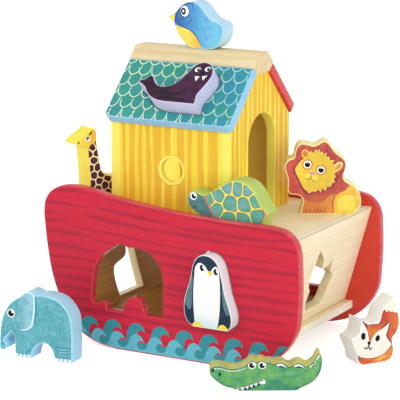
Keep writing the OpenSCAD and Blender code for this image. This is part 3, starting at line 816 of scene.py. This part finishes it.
def standing(node, turn, left, top, face=None, up=Z, tilt=0):
    """Where a block's picture sits (face, up, origin, and mm on the block for one drawn mm), and the pot that
    its paints come from. left and top: how far the drawing reaches."""
    face = face or Vector((math.sin(math.radians(turn)), -math.cos(math.radians(turn)), 0))
    right = up.cross(face)
    rim = outlines(node, face)[0]
    low = min(p.dot(up) for p in rim)
    tall = max(p.dot(up) for p in rim) - low
    scale = tall/MM/top
    origin = right*(min(p.dot(right) for p in rim) - left*scale*MM) + up*low + face*rim[0].dot(face)
    turned = tuple(origin), (tilt, 0, math.radians(turn))

    def pot(name, tones, spot=turned, **settings):
        return paint(f"{node}_{name}_paint", tones, spot, **settings)

    return (face, up, origin, scale), pot


def block(node, place, base, side, picture, radius=1.1, rim=None):
    """One animal, with its picture on both faces."""
    face, up, origin, scale = place
    sized = [(finish, [(u*scale, v*scale) for u, v in shape]) for finish, shape in picture]
    board(node, face, up, node, node + "_paint", base, side, sized, base, mirrored(sized), origin, radius,
        BLOCK_CORNER, rim)


def eye(u, v, white, pupil, shift=(0, 0), glint=(0.5, 0.6), glint_size=0.45):
    """White, pupil and glint. shift moves the pupil in the white; glint is in pupil radii."""
    a, b = u + shift[0], v + shift[1]
    return [(eye_white, dot(u, v, white)), (eye_black, dot(a, b, pupil)),
            (eye_white, dot(a + glint[0]*pupil, b + glint[1]*pupil, glint_size*pupil, sides=12))]


def moved(shape, right, up):
    """The shape set over by some millimetres."""
    return [(u + right, v + up) for u, v in shape]


def shrunk(shape, share):
    """The shape drawn smaller round its middle."""
    middle = np.mean(shape, 0)
    return (middle + (np.array(shape) - middle)*share).tolist()


print("an eye has", len(eye(0, 0, 3, 2)), "shapes")

# %% [markdown]
# ### Elephant
# It stands loose on the table. Its hide is dabbed with a small round brush, and a pale line with a dark
# edge lifts the ear from the head.

# %% Elephant
at, pot = standing("elephant", turn=6, left=-38.8, top=66)
hide = pot("teal", "#58abb7 #8accd0 #4096ac", streak=(2.2, 5), cloud=5, amount=0.85, tint=("#68bac4", 16))
ear = pot("ear", "#58abb7 #9cd2da #4c9fb4", streak=(2, 5), cloud=6, tint=("#88c2d2", 8),
    fade=("#9ed0e0", 0, -18, -5))
pale = pot("pale_line", "#d3f3fb #e4f9fd #bfe9f4")
fold = pot("fold", "#34869f #4295ab #2c7790")
side = pot("pale_side", "#b0e8ff #c2f0ff #a2def8", HOME, streak=(6, 30))
ear_line = [(-12, 64), (-6, 65), (-1.2, 63), (-0.3, 57), (-0.6, 47), (-1.9, 38), (-4, 32), (-9.5, 28),
    (-15.3, 27.3)]
art = [(ear, patch(*ear_line, (-19, 33), (-18, 45), (-17, 57))),
    (fold, stroke([(1.1, 62), (1.5, 54), (0.9, 44), (-0.6, 35)], 1.9)), (pale, stroke(ear_line, 2, 0.4)),
    *eye(-25.5, 42.7, 4.3, 3.2, glint=(0.55, 0.6), glint_size=0.55)]
for drop in (0, 3, 6, 9):
    art += [(fold, stroke([(22, 15 - drop), (28, 13.6 - drop), (36.6, 15 - drop)], 1)),
        (pale, stroke([(24, 13.2 - drop), (29, 12.4 - drop), (34, 13 - drop)], 0.35))]
art += [(fold, stroke([(-36.6 + k*0.2, 27 - 4*k), (-32.4 - k*0.3, 28.2 - 4*k)], 0.8)) for k in range(5)]
art += [(eye_white, dot(u, 1.5, 1.75, 2, sides=12)) for foot in ((-20, -7.4), (23.6, 36.6))
    for u in np.linspace(*foot, 4)]
block("elephant", at, hide, side, art, 0.9)

# %% [markdown]
# ## Cells
# A giraffe's spots and a turtle's plates are the same pattern: patches round a few centres with lines
# of even width between them. The patch of a centre is everything nearer to it than to the others, so
# it can be cut out of a fence by straight cuts, and its corners rounded.

# %% Cells round centres
SHORTEST, KNOTS = 0.8, (0.22, 0.5, 0.78)


def cut(shape, point, way):
    """The part of a convex shape that lies behind a point, seen along a direction."""
    kept = []
    for a, b in zip(shape, shape[1:] + shape[:1]):
        p, q = (np.dot(np.subtract(c, point), way) for c in (a, b))
        if p <= 0:
            kept.append(a)
        if (p < 0 < q) or (q < 0 < p):
            kept.append(tuple(np.add(a, np.subtract(b, a)*(p/(p - q)))))
    return kept


def cells(centres, line, fence=None, reach=None):
    """Rounded patches round the centres, a line's width apart, in a convex fence or within a reach."""
    made = []
    for k, centre in enumerate(centres):
        shape = list(fence) if fence else dot(*centre, reach, sides=14)
        for other in centres[:k] + centres[k + 1:]:
            way = np.subtract(other, centre)
            way = way/np.linalg.norm(way)
            shape = cut(shape, np.add(centre, other)/2 - way*line/2, way)
        corners = []
        for a, b in zip(shape, shape[1:] + shape[:1]):
            if math.dist(a, b) > SHORTEST:
                corners += [tuple(np.add(np.multiply(a, 1 - s), np.multiply(b, s))) for s in KNOTS]
        if len(corners) > 6:
            made.append(curve(corners, True, 3).tolist())
    return made


print("two centres give", len(cells([(0, 0), (6, 0)], 1, reach=5)), "cells")

# %% [markdown]
# ### Giraffe
# It stands on the deck behind the bow. The coat is cream with plum spots that are darker at their edge, and
# the head stays plain yellow.

# %% Giraffe
at, pot = standing("giraffe", turn=64, left=-37, top=81.5)
yellow = pot("yellow", "#f9e04e #fdec6c #f4c445", streak=(5, 14), fade=("#f5bd4c", 0, -30, -14))
cream = pot("cream_line", "#fdeccb #fff5de #f7dcae")
dark = pot("dark_spot_edge", "#34191f #432229 #271217", gloss=0.15)
plum = pot("plum_spot", "#5a3048 #70425c #442232", streak=(3, 3), cloud=4, gloss=0.15)
side = pot("lemon_side", "#ffee46 #fff364 #f9e13c", HOME, streak=(6, 40))
coat_spots = [(-18.3, 61.7), (-22, 56.6), (-14.6, 56.8), (-17.4, 49.3), (-25.5, 47), (-20.8, 42), (-13.4, 41.9),
    (-17.2, 34.4), (-25.5, 33), (-9, 35), (-1.3, 30.6), (-11.4, 28), (-19.2, 26.3), (-5, 23.4), (7, 29), (4.2, 22),
    (14, 27.5), (12.6, 20), (21, 22.5), (-12.6, 20.6), (-20.6, 17.6), (-1.4, 15), (8, 13.4), (18, 13.6),
    (-11, 12.4), (-19.6, 9), (-4.4, 6.6), (4.6, 5), (13.4, 5.8), (22.4, 6), (-13, 3.6), (-22, 1), (-12.4, 65.4)]
art = [(cream, [(-30, 59), (-22.5, 61), (-20.5, 64.5), (-16, 65), (-12.5, 70), (40, 70), (40, -4), (-30, -4)])]
for shape in cells(coat_spots, 1.5, reach=4.4):
    art += [(dark, shape), (plum, shrunk(shape, 0.7))]
art += eye(-23.9, 71.5, 2.8, 1.8, (0.1, 0.3), (0.45, -0.5), 0.6)
art += [(eye_black, dot(-34.4, 69.4, 0.9, 1.9, -15)),
    (eye_black, stroke([(-22.2, 75), (-20.6, 77), (-19, 79)], 1.7, 0.5))]
block("giraffe", at, yellow, side, art, 0.8)

# %% [markdown]
# ### Turtle
# It is tucked between house and hull side. The shell has yellow lines between plates that were painted wet
# in two colours, and an orange rim.

# %% Turtle
at, pot = standing("turtle", turn=0, left=-43.6, top=51.4)
skin = pot("skin", "#4b7b7e #64928c #34606c", streak=(7, 5), cloud=7)
plate = pot("plate", "#57a893 #7ebca8 #459f78", streak=(5, 8), cloud=8, tint=("#86acba", 9))
shade = pot("plate_edge", "#33766c #478a7c #28665e")
yellow = pot("yellow_line", "#f5e264 #f9ee86 #efbd50", cloud=14)
orange = pot("orange_rim", "#e8864a #f2a05c #d66c3c")
side = pot("lime_side", "#b8cc64 #c6d87c #a8c25a", HOME, streak=(20, 20))
shell = [(-26.4, 35), (-23, 27.5), (-17, 17), (-11, 9), (4, 6.4), (24, 6.8), (36.5, 11), (42, 22), (36, 32),
    (28, 46), (8, 56), (-8, 50)]
seams = [(-22, 38), (-21.5, 30), (-14.4, 17.5), (-9, 10.5), (4, 7.8), (24, 8.2), (33, 11.5), (37, 20), (34.5, 32),
    (28, 46), (8, 56), (-8, 50)]
plates = [(-0.8, 45), (10.2, 44), (20.8, 43.4), (-10.6, 35), (2, 28.6), (18, 29.4), (28.4, 33.6), (-12.6, 21.6),
    (0.4, 13.6), (16.6, 13.8), (31.4, 19), (-20.4, 29.4)]
fence = [(-23.6, 34), (-21.6, 27), (-16, 17), (-10, 10), (4, 8), (24, 8.4), (34.4, 12), (38.8, 21.8), (33, 30.6),
    (29.8, 36.6), (25.9, 41.9), (20.2, 46.9), (14, 49.2), (8.4, 49.8), (3.4, 49), (-2.5, 46.4), (-12, 39.9)]
art = [(orange, shell), (yellow, seams)]
for shape in cells(plates, 1.6, fence):
    art += [(shade, shape), (plate, shrunk(shape, 0.9))]
art += eye(-36.8, 31.6, 3.8, 2.5, (0.5, 0), (0.4, 0.5), 0.5)
art += [(eye_black, stroke([(-37.2, 20.4), (-35.2, 21.6), (-33.8, 23.6)], 0.9))]
block("turtle", at, skin, side, art)

# %% [markdown]
# ### Lion
# It sits on the deck by the stern, turned to the viewer. Tufts of hair round the face are a smooth outline
# with points pulled out of it at uneven spacing, drawn twice over a shadow: a pale edge and gold.

# %% Fur
def furry(points, tuft, depth, calm, seed):
    """A smooth outline with tufts of hair; none between two shares of its length."""
    chance = np.random.default_rng(seed)
    line = curve(points, True, 12)
    runs = np.r_[0, np.cumsum(np.linalg.norm(np.roll(line, -1, 0) - line, axis=1))]
    closed_line = np.r_[line, line[:1]]
    middle = line.mean(0)
    made, share = [], 0
    while share < 1:
        wide = tuft/runs[-1]*chance.uniform(0.6, 1.4)
        rise = 0 if calm[0] < share < calm[1] else depth*chance.uniform(0.5, 1.2)
        for at, lift in ((share, 0), (share + 0.6*wide, rise)):
            p = np.array([np.interp(min(at, 1)*runs[-1], runs, closed_line[:, i]) for i in (0, 1)])
            made.append(tuple(p + lift*(p - middle)/np.linalg.norm(p - middle)))
        share += wide
    return made


print("a tufted tile has", len(furry(tile, 4, 1, (0, 0), 1)), "points")

# %% Lion
at, pot = standing("lion", turn=29, left=-37.4, top=73)
body = pot("orange", "#d8803e #e69a4c #c8663a", streak=(4, 10), cloud=9, fade=("#e09646", 0, -6, 10))
mane = pot("mane", "#bf4a3c #d06c48 #aa383e", streak=(6, 8), cloud=9, amount=0.85,
    tint=("#ba4052", 10), fade=("#cc6a40", 2, 26, 12))
shade = pot("mane_shadow", "#97323e #a83e48 #842a36")
gold = pot("gold_face", "#ecc83e #f4d954 #dfb036", streak=(6, 9), cloud=9)
tan = pot("tan_ring", "#d08a34 #dc9c42 #c07a2e")
brown = pot("brown_line", "#9a5a24 #a8682e #884c1e")
pale = pot("pale_edge", "#fde792 #feefae #f5d674")
nose = pot("mauve_nose", "#c99aa4 #d8b0b8 #b78690")
haunch = pot("haunch", "#f2c144 #f8e05a #e8a83e", streak=(10, 10), cloud=14)
glow = pot("yellow_haunch", "#f7e054 #fbec78 #f2cc48", streak=(5, 5), cloud=7)
side = pot("pale_side", "#fff4aa #fffabe #fdec90", HOME, streak=(8, 24))
face_line = [(-14.8, 58.6), (-10, 61), (-5.9, 63.4), (-1, 61), (3.1, 57.4), (7.4, 53), (10.4, 48.6), (11.2, 42),
    (10.6, 36), (8.6, 30.6), (3.6, 27.6), (-2.1, 25.6), (-7.4, 24), (-13.3, 22.6), (-18.4, 26), (-22.6, 34),
    (-26.6, 42.4), (-26.8, 46), (-24, 50.6), (-20.6, 54.6)]
TUFT, BARE = 4.6, (0.62, 1)
art = [(haunch, patch((10.6, 10), (12.6, 17.6), (18, 22.6), (24.4, 26.6), (32, 30), (42, 24), (42, 4), (34, -4),
        (16, -4), (11.6, 3))),
    (glow, dot(23, 11, 9.5, 8.5, 20)), (shade, stroke([(12.4, 18.6), (9.6, 12), (10.8, 4)], 0.9)),
    (mane, [(-45, 14), (-32.2, 19.4), (-21.1, 17.2), (-16, 14.4), (-11, 12.6), (-5, 12), (1.6, 14), (6.5, 18.8),
        (13.8, 20.6), (22.4, 24.2), (26, 31), (45, 40), (45, 90), (-45, 90)]),
    *marks(shade, stroke, ([(-30, 60), (-24, 53), (-27, 47)], 1.2), ([(4, 70), (3, 64), (7, 58)], 1.2),
        ([(20, 44), (15, 38), (13, 31)], 1.4)),
    (shade, moved(shrunk(patch(*face_line), 1.12), 0.3, -0.5)),
    (gold, dot(-17.3, 60.2, 3.8, 4.6, 10)), (body, dot(-17.5, 60.4, 2.4, 3.1, 10)),
    (pale, dot(14.4, 47.8, 5.8, 3.5, 42)), (body, dot(14.2, 47.4, 4.2, 2.1, 42)),
    (pale, furry(face_line, TUFT, 2.9, BARE, 5)), (gold, furry(face_line, TUFT, 1.9, BARE, 5))]
for u, v in ((-15.2, 49.8), (-2, 44.4)):
    art += [(tan, dot(u, v, 5.3)), *eye(u, v, 3.9, 2.7, (0, -0.1), (-0.25, 0.75), 0.22),
        (eye_white, dot(u + 1.2, v + 1.7, 0.6, sides=12))]
art += [*marks(glow, dot, (-14.8, 38, 3.2, 2.8), (-8.8, 36.2, 3.9, 3.2)),
    (nose, patch((-13.2, 43), (-8.4, 42.2), (-7.4, 40.6), (-10.4, 39.4), (-12.4, 40.8))),
    *marks(brown, stroke, ([(-17, 36.4), (-14.2, 35.2), (-11.9, 36.8), (-11.2, 39.4)], 0.9),
        ([(-11.9, 37), (-10.4, 34.2), (-8.2, 33), (-6.4, 33.2)], 0.9))]
art += [(shade, stroke([(u - 1, 1), (u + 0.2, 3.6), (u + 1.8, 6 + 1.4*(k % 2))], 0.7, 0.15))
    for k, u in enumerate(np.linspace(-16, 1.6, 6))]
block("lion", at, body, side, art)

# %% [markdown]
# ### Penguin
# It is posted into its hole in the hull side and stands a little out of it.

# %% Penguin
at, pot = standing("penguin", turn=0, left=-25.7, top=70.6)
navy = pot("navy", "#1f3346 #30485e #162432", streak=(5, 9), cloud=8, gloss=0.15)
white = pot("white", "#fcfdfd #ffffff #eef5f8", cloud=20, amount=0.5, fade=("#d9eef0", 2, 16, 2))
wing = pot("flipper", "#527882 #658d96 #43626f", streak=(4, 10), cloud=8)
yellow = pot("yellow", "#f8e048 #fcec74 #efca3a", streak=(4, 4), cloud=5)
side = pot("white_side", "#f0fcff #f6fdff #e8f8fc", HOME, streak=(8, 24), amount=0.5)
left_wing = [(-17.2, 52), (-20.6, 41), (-24.4, 30), (-26.4, 25), (-23, 20), (-19.6, 16.2), (-17.4, 20), (-16.6, 32),
    (-16.2, 44)]
right_wing = [(15.2, 47), (15.4, 36), (16.4, 25), (18.6, 18), (21, 15), (23, 18), (22.2, 24), (19, 34), (17, 42)]
belly = [(-14.2, 50), (-13.6, 57), (-11, 61.4), (-7.6, 62.8), (-3.6, 60.8), (-0.6, 57.4), (2.2, 54.6), (4.6, 58),
    (7, 60.4), (9.6, 60.8), (11.6, 58), (12.4, 52), (13.1, 42), (13.2, 30), (12.6, 16), (11, 4), (10.6, -4),
    (-13, -4), (-14, 6), (-15, 18), (-15.4, 32), (-14.8, 44)]
art = [*marks(wing, patch, left_wing, right_wing), (white, patch(*belly))]
for u, v in ((-6, 58), (8.6, 55.8)):
    art += [(eye_black, dot(u, v, 2.3, 3.1, 12)), (white, dot(u + 1.8, v + 0.9, 1.5, 1.7))]
art += [*marks(yellow, patch, [(-0.4, 54.8), (2.4, 56), (5.2, 54.4), (4.2, 52.4), (2.6, 51), (0.8, 52.6)],
        [(-17, -1), (-14.8, 4), (-10.4, 5.8), (-6, 3), (-3, -1)]),
    (eye_black, stroke([(10.4, 1), (11.8, 4.8), (16, 7), (20.4, 4.4)], 1.1)),
    (yellow, patch((10.6, -1), (12, 3.8), (16, 6), (20, 3.8), (22, -1)))]
block("penguin", at, navy, side, art, 0.7)

# %% [markdown]
# ### Crocodile
# It lies in front of the hull. Green was worked into yellow and teal while wet, the upper jaw's teeth are
# triangles along one curve, and white half-moons mark the scales on its back.

# %% Crocodile
at, pot = standing("crocodile", turn=30, left=-51, top=34.4)
green = pot("green", "#4d9f60 #82b878 #35866a", streak=(9, 6), cloud=8, amount=0.85, tint=("#6fae5a", 13))
dusk = pot("dusk_green", "#3f9068 #589e6c #337c66", streak=(5, 5), cloud=5, tint=("#358070", 7))
dark = pot("deep_green", "#22564e #2d6a5e #1a4640")
mint = pot("mint", "#f4fcf8 #ffffff #dcf2e8")
side = pot("olive_side", "#d2d86a #b4dca4 #f2cc50", HOME, streak=(5, 5), cloud=6, amount=0.9, tint=("#8cc49c", 8))
mouth = curve([(-30, 0.2), (-27, 2.2), (-20, 4), (-14.2, 5.8), (-8.2, 7.8), (-1, 10.4)], False, 6)
teeth = [mouth[int(k)] for k in np.linspace(1, len(mouth) - 2, 8)]
TOOTH = [0.8, -3.5]
art = [*marks(dusk, patch, [(0, -2), (3, 8), (10, 10), (20, 5.6), (31, 4), (33, -2)],
        [(-52, 18), (-46, 13), (-38, 7.4), (-30, 4), (-38, 3), (-50, 8)]),
    (dark, stroke([(-32, 0), (-20, 2), (-10, 4.6), (0.6, 9.4)], 4, 0.2)),
    *((eye_white, [a.tolist(), ((a + b)/2 + TOOTH).tolist(), b.tolist()]) for a, b in zip(teeth, teeth[1:])),
    (eye_white, dot(-1.9, 8.6, 1.9, 2.3)), (dark, stroke(mouth[::5].tolist() + [mouth[-1].tolist()], 0.7, 0.5))]
for u, v in ((-12.4, 24.2), (-3.2, 24.1)):
    art += eye(u, v, 3.6, 2.6, (0, -0.2), (0.6, 0.4), 0.5)
art += marks(eye_black, dot, (-48, 19.4, 1, 1.7), (-41.8, 15.8, 1, 1.7))
snout = [(-48.6, 22), (-44.5, 23), (-39, 22.2), (-33.5, 20.6), (-26.5, 20.6), (-20.5, 22.2), (-16.2, 25.4)]
art += [(mint, dot(u, np.interp(u, *zip(*snout)) - 1.7, 0.75, 0.6, sides=10))
    for u in np.linspace(-45.5, -19.4, 13)]
for first, top, last in np.array([[(9.6, 24.4), (13.8, 25.6), (18.6, 22)], [(25.4, 23.6), (29.8, 25.2), (34.6, 22)],
        [(39.6, 22.2), (42.2, 24.4), (45.8, 25.4)]]):
    middle = (first + last)/2
    art += [(mint, patch(first, top, last, middle - [0, 1.4])),
        (dark, patch(first + [1.6, -1.4], middle + [0.4, 0.4], last + [0, -0.8], middle - [0, 1.6]))]
art += marks(mint, dot, (44.4, 27.6, 1.6, 1, 60), (46.4, 30.6, 1.7, 1, 62), (48.2, 32.6, 1.2, 0.8, 40))
art += [(dusk, stroke([(46, 12), (49, 20), (49.6, 28)], 2))]
block("crocodile", at, green, side, art, 0.6, dark)

# %% [markdown]
# ### Fox
# It sits past the stern. The face is cream with a deep V of orange between the ears; the tail is red to orange
# with a ragged cream tip.

# %% Fox
at, pot = standing("fox", turn=58, left=-25.6, top=63.2)
tail = pot("tail", "#c43a32 #d65238 #ac2e30", streak=(4, 8), cloud=8, fade=("#de7430", 0, 9, 25))
brow = pot("brow", "#d8722a #e48c34 #c65a2a", streak=(4, 9), cloud=8, fade=("#b83632", 2, 32, 41))
chest = pot("chest", "#d45a2a #e47a34 #bf442c", streak=(6, 4), cloud=7, fade=("#e48c36", 0, -10, 8))
gold = pot("golden_dab", "#f4b544 #f9ca62 #eb9c3c", streak=(4, 3), cloud=4)
cream = pot("cream", "#f3f1e6 #f9f7ee #ede6d2", cloud=14)
tip_white = pot("tail_tip", "#fdf6dc #fffcee #f8ecc0", cloud=8)
rust = pot("dark_line", "#7c2420 #8e302a #681c1a")
navy = pot("navy_eye", "#080b1a #12162c #06080f", cloud=3, gloss=0.12)
side = pot("white_side", "#fafefd #ffffff #f2f8f6", HOME, streak=(6, 20), amount=0.5)
left_ear = [(-15.2, 46.4), (-11.8, 41.2), (-8.7, 35), (-6.7, 28.5), (-5.7, 22.5)]
right_brow = [(-3.6, 22.8), (-1.3, 27.2), (2.9, 30.8), (7.7, 32.7), (12.5, 35.7), (16.7, 38.8)]
right_cheek = [(17.6, 38.2), (17.1, 35.1), (15.4, 30.1), (14, 25.5), (17.1, 20.9), (20.3, 16.2)]
chin = [right_cheek[-1], (16.1, 12), (11.3, 8.2), (5.3, 6.5), (-1.4, 5.9), (-8.7, 6.7), (-14.1, 8.3), (-16.9, 9.7),
    (-19.3, 12.7)]
mask = [tuple(p) for run in (left_ear, right_brow, right_cheek, chin) for p in curve(run, False, 4)]
mask += [(-32, 14), (-32, 46)]
tip = [(7, 52), (8.5, 50.4), (11.5, 51.9), (13.7, 48.7), (16.4, 50.9), (17.1, 48.7), (20.1, 48.9), (23.2, 46.9),
    (25.6, 47.6), (30, 48), (30, 68), (4, 68)]
art = [(brow, [(-17, 49), (-5.7, 22.5), (17.6, 38.8), (8, 44), (-4, 44)]),
    (chest, [(-26, 14), (-17, 9), (-4, 6), (8, 8), (20.3, 16.2), (24, 12), (22, -3), (-22, -3)]),
    (gold, patch((2, 3.4), (6, 5.6), (10.4, 7), (13.6, 6), (11, 3.4), (6, 2))),
    (rust, patch((-20.5, 13.4), (-17.4, 9.2), (-15.4, 5.4), (-17.4, 4), (-20.6, 8))),
    (rust, moved(mask, 0.5, -0.6)), (cream, mask),
    *marks(rust, stroke, ([(-14.8, 45.4), (-11.2, 41), (-7.9, 35)], 1.9, 0.2),
        ([(-8, 40.2), (-3, 39.4), (2, 38.8), (5, 40)], 1.7, 0.2),
        ([(17.2, 39), (12.6, 36.3), (7.6, 33.4)], 1.5, 0.2),
        ([(17.4, 37.6), (15.6, 30.4), (14.4, 25.6), (17.4, 21), (20.4, 16.6)], 1.5, 0.3),
        ([(5.4, 40.4), (7, 44.4), (8.6, 50)], 1.6, 0.2)),
    (rust, moved(tip, 0, -0.6)), (tip_white, tip),
    *marks(navy, dot, (-12.5, 28.8, 2.6, 3.6, 8), (3.8, 24.6, 2.5, 3.2, -20)),
    (eye_black, patch((-7.8, 22), (-5.8, 22.8), (-3.8, 21.8), (-4.8, 19.4), (-5.8, 18.4), (-6.8, 19.6))),
    *marks(eye_black, stroke, ([(-11.3, 17.8), (-9.8, 16.4), (-7.6, 16.6), (-6.3, 18.8)], 1.3, 0.5),
        ([(-6.1, 18.8), (-5.4, 16), (-3.9, 14.9), (-2.2, 16.2)], 1.3, 0.5))]
block("fox", at, tail, side, art, 0.7)

# %% [markdown]
# ### Bird
# It perches on the ridge. Blue runs from navy at the beak to sky blue at the tail, and small arcs mark the
# feathers.

# %% Bird
at, pot = standing("bird", turn=0, left=-31, top=45.3)
blue = pot("blue", "#4a9cd8 #74bfe8 #3c8acc", streak=(7, 5), cloud=9, amount=0.6, fade=("#7acdee", 0, -6, 18))
head = pot("head", "#2a5ca6 #4c92d2 #22498e", streak=(5, 5), cloud=8, fade=("#55a4dc", 0, -22, 0))
navy = pot("navy_line", "#173a70 #234a84 #102c58")
yellow = pot("yellow", "#fbe45c #fdf07c #f8cf4c", streak=(8, 5), cloud=9, fade=("#f7b840", 0, -10, 6))
side = pot("pale_side", "#bbe2f8 #cdebfb #aad8f4", HOME, streak=(20, 10))
art = [(head, patch((-34, 22), (-22, 20.6), (-12.4, 18.6), (-5, 20), (-1, 25), (0, 32), (-2, 40), (-6, 50),
        (-34, 50))),
    *marks(navy, stroke, ([(-24.6, 24), (-22.6, 33), (-18.4, 38), (-14, 41.6), (-8, 44), (-2, 44)], 2.2, 0.3),
        ([(-24.5, 22.6), (-19, 20.9), (-12.4, 19.6), (-7.4, 18), (-3, 15.6), (2, 10), (6, 2)], 1, 0.4)),
    (yellow, patch((-23, 20.8), (-18, 20.6), (-12.4, 19.2), (-7.8, 17.8), (-4.5, 16), (-1.4, 13.2), (1.6, 9.6),
        (4.6, 4.6), (6.8, -2), (-12, -5), (-28, 6))),
    (yellow, [(-36, 20), (-24.2, 22.6), (-23.4, 28), (-22.4, 34.6), (-36, 36)])]
FEATHERS = (-13, 31.4)
for finish, reach, low, high in ((navy, 9, -75, -8), (head, 11.4, -66, 4), (head, 13.8, -58, 2),
        (head, 16, -50, -12)):
    ways = np.radians(np.linspace(low, high, 6))
    art += [(finish, stroke(np.stack([np.cos(ways), np.sin(ways)], 1)*reach + FEATHERS, 0.8, 0.2))]
art += [(navy, dot(-12.1, 35.7, 5.2, 6)), (eye_white, dot(-12.1, 35.7, 4.6, 5.4)),
    (eye_black, dot(-13.5, 35.6, 2.8, 3.4)), (eye_white, dot(-13.7, 35.7, 1.1, 1.5))]
block("bird", at, blue, side, art, 0.8)

# %% [markdown]
# ### Walrus
# It is posted into the roof. Dark plum is brushed along the body, blackest towards the tail.

# %% Walrus
at, pot = standing("walrus", turn=0, left=-38, top=49.4, face=roof_out, up=roof_up, tilt=PITCH)
plum = pot("plum", "#321d2e #52294a #22141e", streak=(14, 3), cloud=9, amount=0.85,
    fade=("#4a2646", 0, -14, 14), gloss=0.15)
brush = pot("brush_mark", "#2a1827 #3a2136 #1f121c", streak=(14, 2), gloss=0.15)
dark = pot("dark", "#170e16 #241622 #100a0f", gloss=0.15)
side = pot("lavender_side", "#d6d2f0 #e2def8 #c8c4e8", HOME, streak=(20, 8))
art = marks(brush, stroke, ([(-20, 9), (-6, 11), (6, 10), (18, 14)], 4, 0.1),
    ([(-12, 3), (0, 5), (12, 4), (26, 3)], 4, 0.1), ([(-34, 20), (-28, 20), (-22, 13)], 3, 0.1))
for u, v in ((20.3, 40.2), (30.6, 41.6)):
    art += [(dark, dot(u, v, 3.9, 3.5, 20)), (eye_white, dot(u, v, 3.3, 2.8, 20)),
        (dark, dot(u + 1.1, v - 0.1, 2, 2.1)), (eye_white, dot(u + 1.7, v + 0.7, 0.7, sides=10))]
art += [(dark, patch((24.2, 37.2), (27, 38), (29.6, 37.2), (27.2, 34.6))),
    (dark, stroke([(19.4, 33.2), (23.2, 32.4), (26.8, 34.8), (29.6, 33.6), (33, 35)], 1))]
for tusk in ([(19.8, 32.4), (25.2, 32.6), (23, 26.4)], [(27.4, 32.8), (33, 34.4), (30.2, 28)]):
    art += [(dark, shrunk(tusk, 1.35)), (eye_white, tusk)]
block("walrus", at, plum, side, art, 0.8)

# %% [markdown]
# ## Studio
# The toy stands on a white table in soft light. The world gives an even white fill, a very large lamp above
# the left shoulder of the camera models the shapes, and one low on the right lights the gable. A narrow lamp
# looks in at the door, so that the far gable's inside shows bright through the window. The table adds a
# little light of its own to the camera alone, so that it reads as white and still shows the shadow.

# %% Floor and world
REACH, GLOW, FILL = 15, 0.62, 0.76  # the table's half width in metres, two levels of light
scene = bpy.context.scene
scene.view_settings.view_transform = "Standard"
table = bpy.data.meshes.new("table")
table.from_pydata([(-REACH, -REACH, 0), (REACH, -REACH, 0), (REACH, REACH, 0), (-REACH, REACH, 0)], [],
    [(0, 1, 2, 3)])
floor = put("table", table)
floor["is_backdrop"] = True


def seen_by_eye(tree):
    """One where the camera, a reflection or glass looks at the surface, zero where light falls on it."""
    path = add(tree, "ShaderNodeLightPath").outputs
    seen = path["Is Camera Ray"]
    for kind in ("Is Glossy Ray", "Is Transmission Ray"):
        seen = add(tree, "ShaderNodeMath", {0: seen, 1: path[kind]}, operation="MAXIMUM")
    return seen


table.materials.append(bpy.data.materials.new("white_table"))
tree = blank(table.materials[0])
glow = add(tree, "ShaderNodeMath", {0: seen_by_eye(tree), 1: GLOW}, operation="MULTIPLY")
matt = add(tree, "ShaderNodeBsdfDiffuse", {"Color": linear("#f4f4f4")})
lift = add(tree, "ShaderNodeEmission", {"Color": linear("#ffffff"), "Strength": glow})
add(tree, "ShaderNodeOutputMaterial", {"Surface": add(tree, "ShaderNodeAddShader", {0: matt, 1: lift})})
scene.world = bpy.data.worlds.new("studio")
sky = blank(scene.world)
level = add(sky, "ShaderNodeMapRange", {"Value": seen_by_eye(sky), "To Min": FILL, "To Max": 1.0})
backdrop = add(sky, "ShaderNodeBackground", {"Color": linear("#ffffff"), "Strength": level})
add(sky, "ShaderNodeOutputWorld", {"Surface": backdrop})
print("table", 2*REACH, "m wide, fill", FILL)

# %% Lamps
def lamp(name, kind, seat, target, **settings):
    """A lamp at a seat that looks at a target, both in metres."""
    light = bpy.data.lights.new(name, kind)
    for setting, value in settings.items():
        setattr(light, setting, value)
    stand = put(name, light)
    stand.location = seat
    stand.rotation_euler = (target - Vector(seat)).to_track_quat("-Z", "Y").to_euler()


toy_middle = (cad_box[0] + cad_box[1])/2
far_gable = Vector((-0.072, 0.035, 0.155))
lamp("key", "AREA", (-0.9, -1.6, 1.3), toy_middle, size=2.2, energy=10)
lamp("side", "AREA", (1.5, -0.95, 0.45), toy_middle, size=1.0, energy=8.8)
lamp("door", "SPOT", (1.05, -0.3, 0.3), far_gable, spot_size=math.radians(3.4), spot_blend=0.8,
    shadow_soft_size=0.02, energy=42)

# %% [markdown]
# ## Camera
# A long lens from some two metres, a little above the roof, looking down over the right half of the hull's
# front. Position, heading and lens were fitted to known corners of the boards in the picture.

# %% Camera
SENSOR, LENS = 36, 175.9  # mm
CAMERA_AT = (0.90419, -1.65424, 0.55184)  # metres
LOOK_DOWN, HEADING = 12.41, 29.119  # degrees
lens = bpy.data.cameras.new("camera")
lens.sensor_width, lens.lens = SENSOR, LENS
camera = put("camera", lens)
camera.location = CAMERA_AT
camera.rotation_euler = (math.radians(90 - LOOK_DOWN), 0, math.radians(HEADING))
scene.camera = camera
print("camera", [round(c, 2) for c in CAMERA_AT], "m, lens", LENS, "mm")

# %% Sizes and finish
visual_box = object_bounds()
grown = (visual_box[1] - visual_box[0]) - (cad_box[1] - cad_box[0])
print("grew by", [round(length/MM, 2) for length in grown], "mm")
